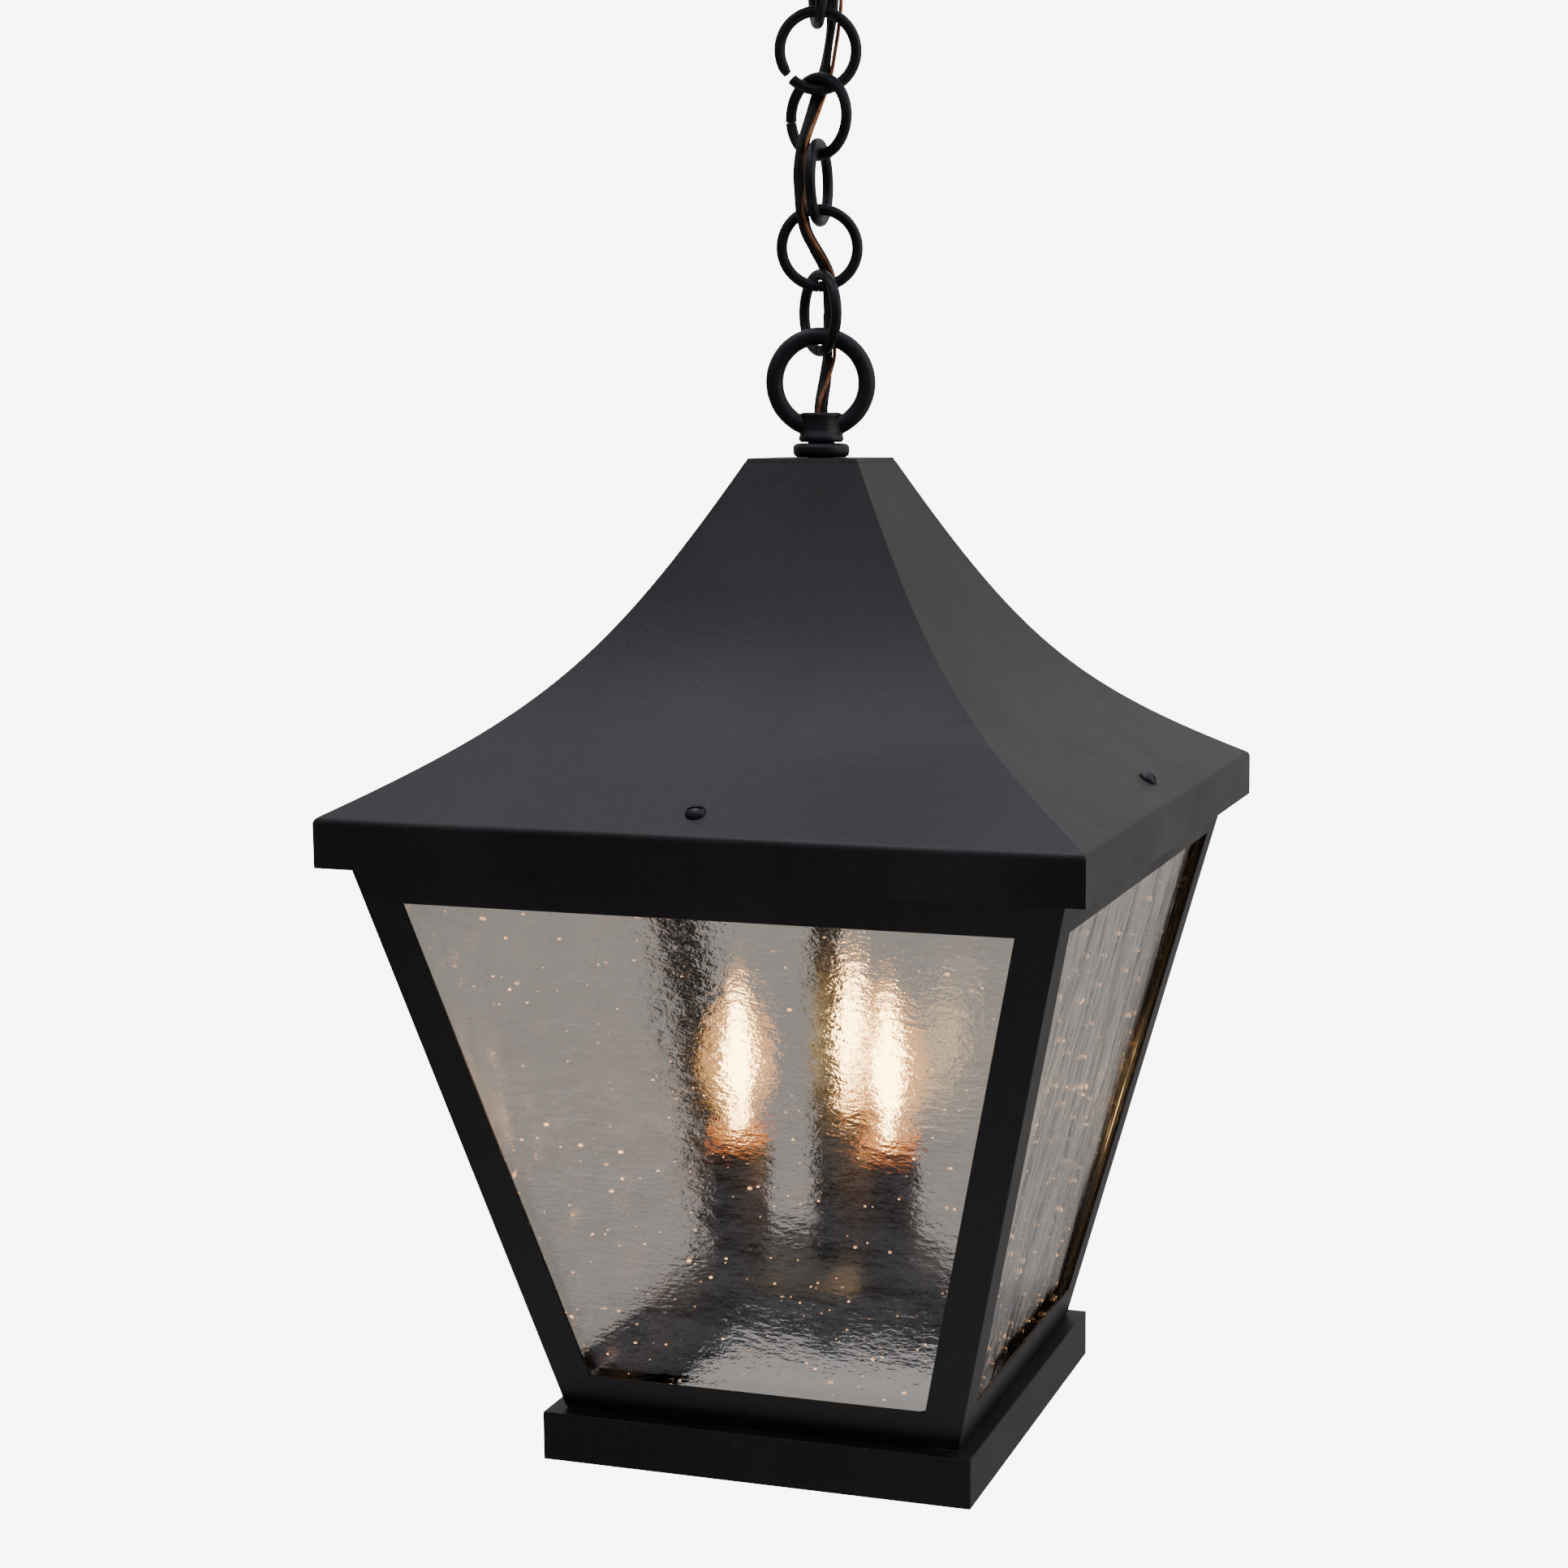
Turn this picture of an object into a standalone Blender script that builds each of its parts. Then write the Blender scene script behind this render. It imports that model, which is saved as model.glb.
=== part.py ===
"""Four-sided hanging lantern with a flared sheet roof, a tapered glazed cage and three candle lights.

It hangs on six round links under a ceiling canopy. Lengths below are millimetres with the ceiling at
z = 0, +Z up. Meshes are made in metres.
"""
import math

import bmesh
import bpy
from mathutils import Matrix, Vector

MM = 0.001
GAP = 0.3

# Chain and loops.
LINK_RING = 15.5
LINK_WIRE = 4.5
LINK_PITCH = 26.2
LINK_TOP_CENTRE = -83.35
LINK_TURNS = (-63.6, 16.4, -23.6, 96.4, 16.4, -45.0)
LOOP_RING = 19.0
LOOP_WIRE = 7.2
LOOP_RISE = 30.7
CANOPY_SEAT = -24.3
CANOPY_TURN = 26.4
FIXTURE_TURN = 16.4

# Roof.
ROOF_TOP = -273.4
CAP_HALF = 23.5
EAVE_HALF = 152.5
EAVE_BEND_Z = -135.8
EAVE_BOTTOM_Z = -155.24
EAVE_BEND_RADIUS = 3.2
SHEET = 1.2
ROOF_CURVE = ((23.5, 0.0), (67.8, -80.0), (87.2, -100.3), (EAVE_HALF, EAVE_BEND_Z))
SCREW_OUT = 139.5
SCREW_Z = -128.7
SCREW_TILT = 28.7

# Cage.
CAGE_TOP_HALF = 142.62
CAGE_TAPER = 0.2501
STRIP = 16.5
STRIP_THICK = 1.5
POST_TOP_Z = -147.5
CAGE_FOOT_Z = -387.45
OPENING_TOP_Z = -169.3
OPENING_FOOT_Z = -371.7
PANE_TOP_Z = -162.0
PANE_FOOT_Z = -379.0
PANE_THICK = 3.0
BASE_HALF = 91.71
BASE_TOP_Z = -387.75
BASE_FOOT_Z = -408.16
BASE_HOLE_HALF = 69.5

# Lights.
STEM_RADIUS = 5.5
STEM_BORE = 4.0
DISH_RADIUS = 50.0
SLEEVE_RADIUS = 12.5
SLEEVE_TOP_Z = -282.0
CANDLE_CIRCLE = 38.0
CANDLE_ANGLES = (93.0, 213.0, 333.0)

# Cord.
CORD_DIAMETER = 4.8
EARTH_DIAMETER = 1.6
CORD_OFFSET = 3.5


def clear_scene():
    for obj in list(bpy.data.objects):
        bpy.data.objects.remove(obj, do_unlink=True)


def new_collection(name):
    coll = bpy.data.collections.new(name)
    bpy.context.scene.collection.children.link(coll)
    return coll


clear_scene()
LANTERN = new_collection("hanging_lantern")
CUTTERS = new_collection("cutters")


def finish_for(name, colour, metallic, roughness):
    mat = bpy.data.materials.new(name)
    mat.use_nodes = True
    shader = mat.node_tree.nodes["Principled BSDF"]
    shader.inputs["Base Color"].default_value = (*colour, 1.0)
    shader.inputs["Metallic"].default_value = metallic
    shader.inputs["Roughness"].default_value = roughness
    return mat


BLACK_IRON = ((0.03, 0.03, 0.032), 0.6, 0.5)
STEEL = ((0.35, 0.35, 0.36), 1.0, 0.35)
BRASS = ((0.55, 0.4, 0.18), 1.0, 0.35)
COPPER = ((0.5, 0.2, 0.1), 1.0, 0.4)
CLEAR_GLASS = ((0.75, 0.76, 0.74), 0.0, 0.05)
PORCELAIN = ((0.7, 0.68, 0.62), 0.0, 0.4)
CORD_PVC = ((0.05, 0.04, 0.035), 0.0, 0.45)


def register(obj, finish, smooth=False):
    """Names the finish after the piece and puts the piece in the lantern's collection."""
    obj.data.materials.clear()
    obj.data.materials.append(finish_for(obj.name, *finish))
    for poly in obj.data.polygons:
        poly.use_smooth = smooth
    for coll in list(obj.users_collection):
        coll.objects.unlink(obj)
    LANTERN.objects.link(obj)
    return obj


def mesh_object(name, verts, faces, edges=()):
    mesh = bpy.data.meshes.new(name)
    mesh.from_pydata([tuple(c * MM for c in v) for v in verts], list(edges), list(faces))
    mesh.update()
    obj = bpy.data.objects.new(name, mesh)
    bpy.context.scene.collection.objects.link(obj)
    return obj


def screw(obj, steps, smooth):
    mod = obj.modifiers.new("turn", "SCREW")
    mod.axis = "Z"
    mod.angle = math.tau
    mod.steps = steps
    mod.render_steps = steps
    mod.screw_offset = 0.0
    mod.use_merge_vertices = True
    mod.merge_threshold = 0.00001
    mod.use_smooth_shade = smooth
    return mod


def turned(name, profile, finish, steps=32, ring=True, smooth=True):
    """A lathe piece. The profile runs down the outer side, then back up the inner side."""
    verts = [(r, 0.0, z) for r, z in profile]
    count = len(verts)
    edges = [(i, i + 1) for i in range(count - 1)]
    if ring:
        edges.append((count - 1, 0))
    obj = mesh_object(name, verts, [], edges)
    register(obj, finish, smooth)
    screw(obj, steps, smooth)
    return obj


def evaluated_mesh(obj):
    graph = bpy.context.evaluated_depsgraph_get()
    return bpy.data.meshes.new_from_object(obj.evaluated_get(graph))


def tidy(mesh):
    """Welds the caps of a converted curve and turns every face outward."""
    edit = bmesh.new()
    edit.from_mesh(mesh)
    bmesh.ops.remove_doubles(edit, verts=edit.verts, dist=0.000002)
    bmesh.ops.recalc_face_normals(edit, faces=edit.faces)
    edit.to_mesh(mesh)
    edit.free()


def from_curve(name, curve, finish, smooth):
    """Converts a curve to a mesh piece and removes the curve."""
    holder = bpy.data.objects.new(name + "_curve", curve)
    bpy.context.scene.collection.objects.link(holder)
    mesh = evaluated_mesh(holder)
    tidy(mesh)
    obj = bpy.data.objects.new(name, mesh)
    bpy.context.scene.collection.objects.link(obj)
    obj.matrix_world = holder.matrix_world
    bpy.data.objects.remove(holder, do_unlink=True)
    return register(obj, finish, smooth)


def rod(name, points, diameter, finish, resolution=3):
    """A round rod, wire or cord along a line of points, with flat ends."""
    curve = bpy.data.curves.new(name, "CURVE")
    curve.dimensions = "3D"
    curve.bevel_depth = diameter * 0.5 * MM
    curve.bevel_resolution = resolution
    curve.resolution_u = 1
    curve.render_resolution_u = 0
    curve.use_fill_caps = True
    spline = curve.splines.new("POLY")
    spline.points.add(len(points) - 1)
    for point, place in zip(spline.points, points):
        point.co = (place[0] * MM, place[1] * MM, place[2] * MM, 1.0)
    return from_curve(name, curve, finish, True)


def plate(name, outline, thickness, finish):
    """A flat plate cut to an outline, lying on its own XY plane and centred in thickness."""
    curve = bpy.data.curves.new(name, "CURVE")
    curve.dimensions = "2D"
    curve.fill_mode = "BOTH"
    curve.extrude = thickness * 0.5 * MM
    curve.resolution_u = 1
    curve.render_resolution_u = 0
    spline = curve.splines.new("POLY")
    spline.points.add(len(outline) - 1)
    for point, place in zip(spline.points, outline):
        point.co = (place[0] * MM, place[1] * MM, 0.0, 1.0)
    spline.use_cyclic_u = True
    return from_curve(name, curve, finish, False)


def as_cutter(obj):
    for coll in list(obj.users_collection):
        coll.objects.unlink(obj)
    CUTTERS.objects.link(obj)
    obj.hide_render = True
    obj.display_type = "WIRE"
    return obj


def drill(name, radius, length, place, turn=None, steps=20):
    """A round cutter centred on a place, along Z unless it is turned."""
    bpy.ops.mesh.primitive_cylinder_add(vertices=steps, radius=radius * MM, depth=length * MM)
    obj = bpy.context.object
    obj.name = name
    matrix = turn.to_4x4() if turn else Matrix.Identity(4)
    obj.matrix_world = Matrix.Translation(Vector(place) * MM) @ matrix
    return as_cutter(obj)


def block_cutter(name, size, place, turn=None):
    bpy.ops.mesh.primitive_cube_add(size=1.0)
    obj = bpy.context.object
    obj.name = name
    matrix = turn.to_4x4() if turn else Matrix.Identity(4)
    scale = Matrix.Diagonal((size[0] * MM, size[1] * MM, size[2] * MM, 1.0))
    obj.data.transform(scale)
    obj.matrix_world = Matrix.Translation(Vector(place) * MM) @ matrix
    return as_cutter(obj)


def boolean(obj, cutter, operation="DIFFERENCE"):
    mod = obj.modifiers.new(cutter.name, "BOOLEAN")
    mod.operation = operation
    mod.solver = "EXACT"
    mod.object = cutter
    return mod


def bevel(obj, width, segments=2, angle=30.0):
    mod = obj.modifiers.new("soft_edge", "BEVEL")
    mod.width = width * MM
    mod.segments = segments
    mod.limit_method = "ANGLE"
    mod.angle_limit = math.radians(angle)
    return mod


def solidify(obj, thickness, offset):
    mod = obj.modifiers.new("sheet", "SOLIDIFY")
    mod.thickness = thickness * MM
    mod.offset = offset
    mod.use_even_offset = True
    return mod


def about_z(degrees):
    return Matrix.Rotation(math.radians(degrees), 4, "Z")


# Ceiling fitting: a bar, a hollow threaded nipple, the dished canopy and its loop.

def make_mounting_bar():
    bpy.ops.mesh.primitive_cube_add(size=1.0)
    bar = bpy.context.object
    bar.name = "mounting_bar"
    bar.data.transform(Matrix.Diagonal((0.096, 0.018, 0.0024, 1.0)))
    bar.location = (0.0, 0.0, -0.0012)
    register(bar, STEEL)
    boolean(bar, drill("bar_hole", 5.4, 8.0, (0, 0, -1.2)))


def make_canopy():
    turned("canopy_nipple", [(5.1, -0.4), (5.1, -34.0), (3.9, -34.0), (3.9, -0.4)], STEEL, 24)
    outer = [(60.0, -0.3), (60.0, -3.4), (58.6, -5.2), (50.0, -8.2), (38.0, -12.6), (26.0, -17.6)]
    outer += [(17.0, -21.4), (12.6, -24.0), (5.4, -24.0)]
    inner = [(5.4, -22.8), (12.0, -22.8), (16.5, -20.2), (25.5, -16.4), (37.5, -11.4), (49.5, -7.0)]
    inner += [(57.8, -4.4), (58.8, -3.0), (58.8, -0.3)]
    turned("canopy", outer + inner, BLACK_IRON, 32)


# Loops: a round ring standing on a short collar, cast in one piece and bored for the cord.

def loop_body(name, collar, bores, ring_turn, seat_z, upright):
    collar_obj = turned(name, collar, BLACK_IRON, 28, ring=False)
    bpy.ops.mesh.primitive_torus_add(
        major_segments=32,
        minor_segments=10,
        major_radius=LOOP_RING * MM,
        minor_radius=LOOP_WIRE * 0.5 * MM,
    )
    ring = bpy.context.object
    ring.name = name + "_ring"
    stand = Matrix.Rotation(math.radians(90.0), 4, "X")
    ring.data.transform(about_z(ring_turn) @ stand)
    ring.location = (0.0, 0.0, LOOP_RISE * MM)
    as_cutter(ring)
    boolean(collar_obj, ring, "UNION")
    cutters = [ring]
    for index, (radius, low, high) in enumerate(bores):
        tool = drill(name + "_bore_" + str(index), radius, high - low, (0, 0, (low + high) * 0.5))
        boolean(collar_obj, tool)
        cutters.append(tool)
    turn = Matrix.Identity(4) if upright else Matrix.Rotation(math.pi, 4, "X")
    frame = Matrix.Translation((0.0, 0.0, seat_z * MM)) @ turn
    for obj in cutters + [collar_obj]:
        obj.matrix_world = frame @ obj.matrix_basis
    return collar_obj


def make_loops():
    upper = [(0.0, 18.6), (7.7, 18.6), (8.2, 18.2), (8.2, 16.8), (7.8, 16.2), (8.0, 12.0)]
    upper += [(9.2, 8.6), (9.2, 6.9), (8.6, 6.3)]
    seat = [(11.2, 5.8), (11.7, 4.6), (11.7, 1.8), (11.1, 0.6), (10.4, 0.3), (0.0, 0.3)]
    bores = ((4.5, 13.0, 22.0), (5.8, -2.0, 14.3))
    loop_body("canopy_loop", upper + seat, bores, -CANOPY_TURN, CANOPY_SEAT, False)
    foot = [(0.0, 6.3)]
    loop_body("fixture_loop", upper + foot, bores, FIXTURE_TURN, ROOF_TOP, True)
    rim = [(9.6, 6.0), (11.0, 5.5), (11.7, 4.4), (11.7, 2.0), (11.1, 0.8), (10.2, 0.3)]
    ring = rim + [(5.8, 0.3), (5.8, 6.0)]
    ring_obj = turned("loop_seat_ring", ring, BLACK_IRON, 28)
    ring_obj.location.z = ROOF_TOP * MM


def make_chain():
    for index, turn in enumerate(LINK_TURNS):
        bpy.ops.mesh.primitive_torus_add(
            major_segments=30,
            minor_segments=8,
            major_radius=LINK_RING * MM,
            minor_radius=LINK_WIRE * 0.5 * MM,
        )
        link = bpy.context.object
        link.name = "chain_link_" + str(index + 1)
        stand = Matrix.Rotation(math.radians(90.0), 4, "X")
        link.data.transform(about_z(turn) @ stand)
        link.location.z = (LINK_TOP_CENTRE - LINK_PITCH * index) * MM
        register(link, BLACK_IRON, True)


# Cord and earth wire, woven through the chain from loop to loop.

CORD_ROUTE = (
    (0.0, 0.0, -1.0), (0.0, 0.0, -12.0), (0.0, 0.0, -24.0), (0.0, 0.0, -36.0), (0.0, 0.0, -41.0),
    (0.0, 0.0, -43.4), (0.3, -0.4, -46.5), (2.1, -2.6, -54.0), (4.4, -6.0, -63.0),
    (5.5, -7.5, -72.0), (5.6, -7.6, -84.0), (5.3, -7.2, -96.0), (3.5, -6.8, -109.0), (1.5, -6.6, -120.0),
    (-2.6, -3.2, -134.0),
    (-6.2, 2.4, -147.0), (-7.5, 4.2, -158.0), (-7.1, 5.3, -167.0), (-6.6, 5.8, -174.5),
    (-5.2, 4.0, -181.5), (-1.8, -0.9, -188.5), (1.2, -4.2, -194.0), (3.2, -6.6, -199.5),
    (3.3, -7.5, -208.0), (2.6, -7.6, -219.0), (2.5, -7.6, -230.0), (1.6, -4.2, -241.0),
    (0.5, -1.2, -248.5), (0.1, -0.2, -252.0),
    (0.0, 0.0, -254.4), (0.0, 0.0, -257.0), (0.0, 0.0, -264.0), (0.0, 0.0, -320.0),
    (0.0, 0.0, -400.0), (0.0, 0.0, -500.0), (0.0, 0.0, -606.0),
)
EARTH_ANGLES = (
    (-34.0, 30.0), (-44.0, 20.0), (-60.0, -30.0), (-80.0, -30.0), (-96.0, 20.0), (-122.0, 30.0),
    (-135.0, 45.0), (-148.0, 60.0), (-162.0, 40.0), (-175.0, 80.0), (-190.0, 70.0), (-214.0, 45.0),
    (-232.0, 30.0),
    (-249.0, 95.0), (-257.0, 110.0),
)


def turned_route(route):
    """The route is laid out square to the chain's face-on links, then turned with them."""
    turn = about_z(FIXTURE_TURN)
    return [turn @ Vector((across, -toward, z)) for across, toward, z in route]


def smooth_route(route, per_span=2):
    """A centripetal curve through the route's points, sampled evenly in each span."""
    points = [Vector(p) for p in route]
    ends = [points[0] * 2 - points[1]] + points + [points[-1] * 2 - points[-2]]
    out = []
    for i in range(1, len(ends) - 2):
        before, start, stop, after = ends[i - 1], ends[i], ends[i + 1], ends[i + 2]
        pairs = ((before, start), (start, stop), (stop, after))
        spans = [max((b - a).length, 1e-6) ** 0.5 for a, b in pairs]
        pull_out = (start - before) / spans[0] - (stop - before) / (spans[0] + spans[1])
        pull_out += (stop - start) / spans[1]
        pull_in = (stop - start) / spans[1] - (after - start) / (spans[1] + spans[2])
        pull_in += (after - stop) / spans[2]
        pull_out *= spans[1]
        pull_in *= spans[1]
        for k in range(per_span):
            t = k / per_span
            point = start * (2 * t**3 - 3 * t**2 + 1) + stop * (3 * t**2 - 2 * t**3)
            point += pull_out * (t**3 - 2 * t**2 + t) + pull_in * (t**3 - t**2)
            out.append(point)
    out.append(points[-1])
    return out


def earth_angle(z):
    for (z0, a0), (z1, a1) in zip(EARTH_ANGLES, EARTH_ANGLES[1:]):
        if z0 >= z >= z1:
            share = (z0 - z) / (z0 - z1)
            return a0 + (a1 - a0) * share
    return EARTH_ANGLES[-1][1]


def make_cords():
    route = smooth_route(turned_route(CORD_ROUTE))
    ends = (route[0].z, route[-1].z)
    bends = [p for p in route if p.z in ends or abs(p.x) + abs(p.y) > 0.01]
    rod("supply_cord", bends, CORD_DIAMETER, CORD_PVC, 2)
    turn = about_z(FIXTURE_TURN)
    wire = []
    for point in route:
        if -38.0 >= point.z >= -257.5:
            angle = math.radians(earth_angle(point.z))
            wire.append(point + turn @ Vector((math.cos(angle), -math.sin(angle), 0.0)) * CORD_OFFSET)
    rod("ground_wire", wire, EARTH_DIAMETER, COPPER, 1)


# Roof: four sheets mitred at the hips, a cap plate, screws, and two straps that cross underneath.

def bezier(points, t):
    a, b, c, d = (Vector(p) for p in points)
    s = 1.0 - t
    return a * s**3 + b * (3 * s * s * t) + c * (3 * s * t * t) + d * t**3


def roof_section():
    """The roof's outer line from under the cap plate to the foot of the eave band."""
    out = []
    for i in range(15):
        t = 0.0085 + (0.9905 - 0.0085) * i / 14
        out.append(tuple(bezier(ROOF_CURVE, t)))
    drop = EAVE_BEND_RADIUS * math.tan(math.radians(61.3) * 0.5)
    centre = (EAVE_HALF - EAVE_BEND_RADIUS, EAVE_BEND_Z - drop)
    for k in range(5):
        angle = math.radians(61.3 * (1.0 - k / 4))
        point = (
            centre[0] + EAVE_BEND_RADIUS * math.cos(angle),
            centre[1] + EAVE_BEND_RADIUS * math.sin(angle),
        )
        if point[1] < out[-1][1] - 0.1:
            out.append(point)
    out.append((EAVE_HALF, EAVE_BOTTOM_Z))
    return out


def screw_frame(index):
    """A screw's frame on one side of the roof: its Z is the sheet's outward normal."""
    side = about_z(90.0 * index)
    tilt = Matrix.Rotation(math.radians(SCREW_TILT), 4, "X")
    place = Matrix.Translation((0.0, -SCREW_OUT * MM, (ROOF_TOP + SCREW_Z) * MM))
    return side @ place @ tilt


def screw_drill(index):
    bpy.ops.mesh.primitive_cylinder_add(vertices=20, radius=2.3 * MM, depth=14.0 * MM)
    obj = bpy.context.object
    obj.name = "screw_hole_" + str(index)
    obj.matrix_world = screw_frame(index)
    return as_cutter(obj)


def make_roof_panels(holes):
    section = roof_section()
    half = EAVE_HALF + 15.0
    inset = GAP / math.sqrt(2.0)
    for index, side in enumerate(("front", "right", "back", "left")):
        verts = []
        for r, z in section:
            verts += [(-half, -r, z), (half, -r, z)]
        faces = [(2 * i, 2 * i + 2, 2 * i + 3, 2 * i + 1) for i in range(len(section) - 1)]
        panel = mesh_object("roof_panel_" + side, verts, faces)
        register(panel, BLACK_IRON)
        solidify(panel, SHEET, -1.0)
        panel.matrix_world = Matrix.Translation((0, 0, ROOF_TOP * MM)) @ about_z(90.0 * index)
        outline = [(0.0, -inset), (-190.0 + inset, -190.0), (190.0 - inset, -190.0)]
        wedge = plate("hip_wedge_" + side, outline, 220.0, STEEL)
        middle = Matrix.Translation((0, 0, (ROOF_TOP - 80.0) * MM))
        wedge.matrix_world = middle @ about_z(90.0 * index)
        as_cutter(wedge)
        boolean(panel, wedge, "INTERSECT")
        boolean(panel, holes[index])


def make_cap():
    profile = [(0.0, 0.0), (CAP_HALF - 0.4, 0.0), (CAP_HALF, -0.4), (CAP_HALF + 0.75, -1.6), (0.0, -1.6)]
    wide = [(r * math.sqrt(2.0), z) for r, z in profile]
    cap = turned("roof_top_plate", wide, BLACK_IRON, 4, ring=False, smooth=False)
    cap.matrix_world = Matrix.Translation((0, 0, ROOF_TOP * MM)) @ about_z(45.0)
    boolean(cap, drill("cap_hole", 5.8, 8.0, (0, 0, ROOF_TOP - 1.0), steps=28))


def hex_nut(name, across_flats, thickness, top_z, bore):
    radius = across_flats * 0.5 / math.cos(math.pi / 6)
    corners = [math.radians(60 * k) for k in range(6)]
    outline = [(radius * math.cos(a), radius * math.sin(a)) for a in corners]
    nut = plate(name, outline, thickness, STEEL)
    nut.location.z = (top_z - thickness * 0.5) * MM
    boolean(nut, drill(name + "_bore", bore, thickness * 3, (0, 0, top_z - thickness * 0.5), steps=24))


def make_stem():
    hex_nut("roof_locknut", 19.0, 4.0, ROOF_TOP - 1.9, 5.8)
    hex_nut("strap_locknut", 17.0, 4.0, ROOF_TOP - 149.7, 5.8)
    top, foot = ROOF_TOP + 13.9, ROOF_TOP - 374.0
    ring = [(STEM_RADIUS, top), (STEM_RADIUS, foot), (STEM_BORE, foot), (STEM_BORE, top)]
    turned("stem_tube", ring, BLACK_IRON, 24)


def make_roof_screws():
    head = [(0.0, 2.5), (1.6, 2.35), (2.9, 1.85), (3.7, 1.1), (4.0, 0.3)]
    shank = [(1.9, 0.3), (1.9, -6.0), (1.4, -6.6), (0.0, -6.6)]
    for index, side in enumerate(("front", "right", "back", "left")):
        piece = turned("roof_screw_" + side, head + shank, BLACK_IRON, 20, ring=False)
        piece.matrix_world = screw_frame(index)
        slot = block_cutter("screw_slot_" + side, (9.0, 1.1, 2.0), (0, 0, 0))
        slot.matrix_world = screw_frame(index) @ Matrix.Translation((0, 0, 2.35 * MM))
        boolean(piece, slot)


def make_strap(name, across_y, joggle, holes):
    half = 7.0
    line = [(146.0, -134.99), (133.6, -128.2), (131.4, -148.3), (18.0, -148.3)]
    if joggle:
        line.append((13.0, -146.0))
    both = line + [(-r, z) for r, z in reversed(line)]
    verts = []
    for r, z in both:
        verts += [(r, -half, z), (r, half, z)]
    faces = [(2 * i, 2 * i + 1, 2 * i + 3, 2 * i + 2) for i in range(len(both) - 1)]
    strap = mesh_object(name, verts, faces)
    register(strap, BLACK_IRON)
    solidify(strap, 2.0, 0.0)
    turn = about_z(90.0) if across_y else Matrix.Identity(4)
    strap.matrix_world = Matrix.Translation((0, 0, ROOF_TOP * MM)) @ turn
    for hole in holes:
        boolean(strap, hole)
    boolean(strap, drill(name + "_hole", 5.8, 12.0, (0, 0, ROOF_TOP - 147.0), steps=24))


# Cage: four angle posts and eight angle rails around the panes.

def cage_half(z):
    return CAGE_TOP_HALF - CAGE_TAPER * (EAVE_BOTTOM_Z - z)


def make_post(index, side):
    middle = (POST_TOP_Z + CAGE_FOOT_Z) * 0.5
    height = POST_TOP_Z - CAGE_FOOT_Z
    outline = [(0, 0), (-STRIP, 0), (-STRIP, STRIP_THICK), (-STRIP_THICK, STRIP_THICK)]
    outline += [(-STRIP_THICK, STRIP), (0, STRIP)]
    post = plate("corner_post_" + side, outline, height, BLACK_IRON)
    lean = Matrix.Identity(4)
    lean[0][2] = CAGE_TAPER
    lean[1][2] = -CAGE_TAPER
    post.data.transform(lean)
    half = cage_half(middle)
    frame = Matrix.Translation((half * MM, -half * MM, (ROOF_TOP + middle) * MM))
    post.matrix_world = about_z(90.0 * index) @ frame


def make_rail(name, index, high, low, flange_z, flange_reach):
    """A strip of the cage's face with an inward flange, open between its two bends."""
    end = STRIP + GAP
    rows = []
    if flange_z == high:
        rows.append((cage_half(high) - flange_reach, high, 0.8))
        rows.append((cage_half(high), high, 0.8))
        rows.append((cage_half(high - 3.5), high - 3.5, 0.0))
    else:
        rows.append((cage_half(high), high, 0.0))
    rows.append((cage_half(low), low, 0.0))
    if flange_z == low:
        rows.append((cage_half(low) - flange_reach, low, 0.0))
    verts = []
    for out, z, relief in rows:
        half = cage_half(z) - end - relief
        verts += [(-half, -out, z), (half, -out, z)]
    faces = [(2 * i, 2 * i + 2, 2 * i + 3, 2 * i + 1) for i in range(len(rows) - 1)]
    rail = mesh_object(name, verts, faces)
    register(rail, BLACK_IRON)
    solidify(rail, STRIP_THICK, -1.0)
    rail.matrix_world = Matrix.Translation((0, 0, ROOF_TOP * MM)) @ about_z(90.0 * index)


def make_pane(name, index):
    back = 3.6 * math.sqrt(1.0 + CAGE_TAPER * CAGE_TAPER)
    verts = []
    for z in (PANE_TOP_Z, PANE_FOOT_Z):
        half = cage_half(z) - 10.5
        verts += [(-half, -(cage_half(z) - back), z), (half, -(cage_half(z) - back), z)]
    pane = mesh_object(name, verts, [(0, 2, 3, 1)])
    register(pane, CLEAR_GLASS)
    solidify(pane, PANE_THICK, -1.0)
    pane.matrix_world = Matrix.Translation((0, 0, ROOF_TOP * MM)) @ about_z(90.0 * index)


def make_cage():
    corners = ("front_right", "back_right", "back_left", "front_left")
    for index, side in enumerate(corners):
        make_post(index, side)
    for index, side in enumerate(("front", "right", "back", "left")):
        make_rail("top_rail_" + side, index, -149.6, OPENING_TOP_Z, -149.6, 14.0)
        make_rail("bottom_rail_" + side, index, OPENING_FOOT_Z, CAGE_FOOT_Z, CAGE_FOOT_Z, 12.0)
        make_pane("glass_pane_" + side, index)


def make_base():
    """A square band with a top ledge and a bottom flange, mitred at the corners."""
    line = [(BASE_HOLE_HALF, BASE_TOP_Z), (BASE_HALF, BASE_TOP_Z)]
    line += [(BASE_HALF, BASE_FOOT_Z), (BASE_HOLE_HALF, BASE_FOOT_Z)]
    wide = [(r * math.sqrt(2.0), z) for r, z in line]
    base = turned("base_pan", wide, BLACK_IRON, 4, ring=False, smooth=False)
    base.matrix_world = Matrix.Translation((0, 0, ROOF_TOP * MM)) @ about_z(45.0)
    solidify(base, SHEET, -1.0)
    bevel(base, 0.9, 2, 40.0)


# Lights: a dish with a cover on the stem, and three candle lights standing on the cover.

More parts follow.
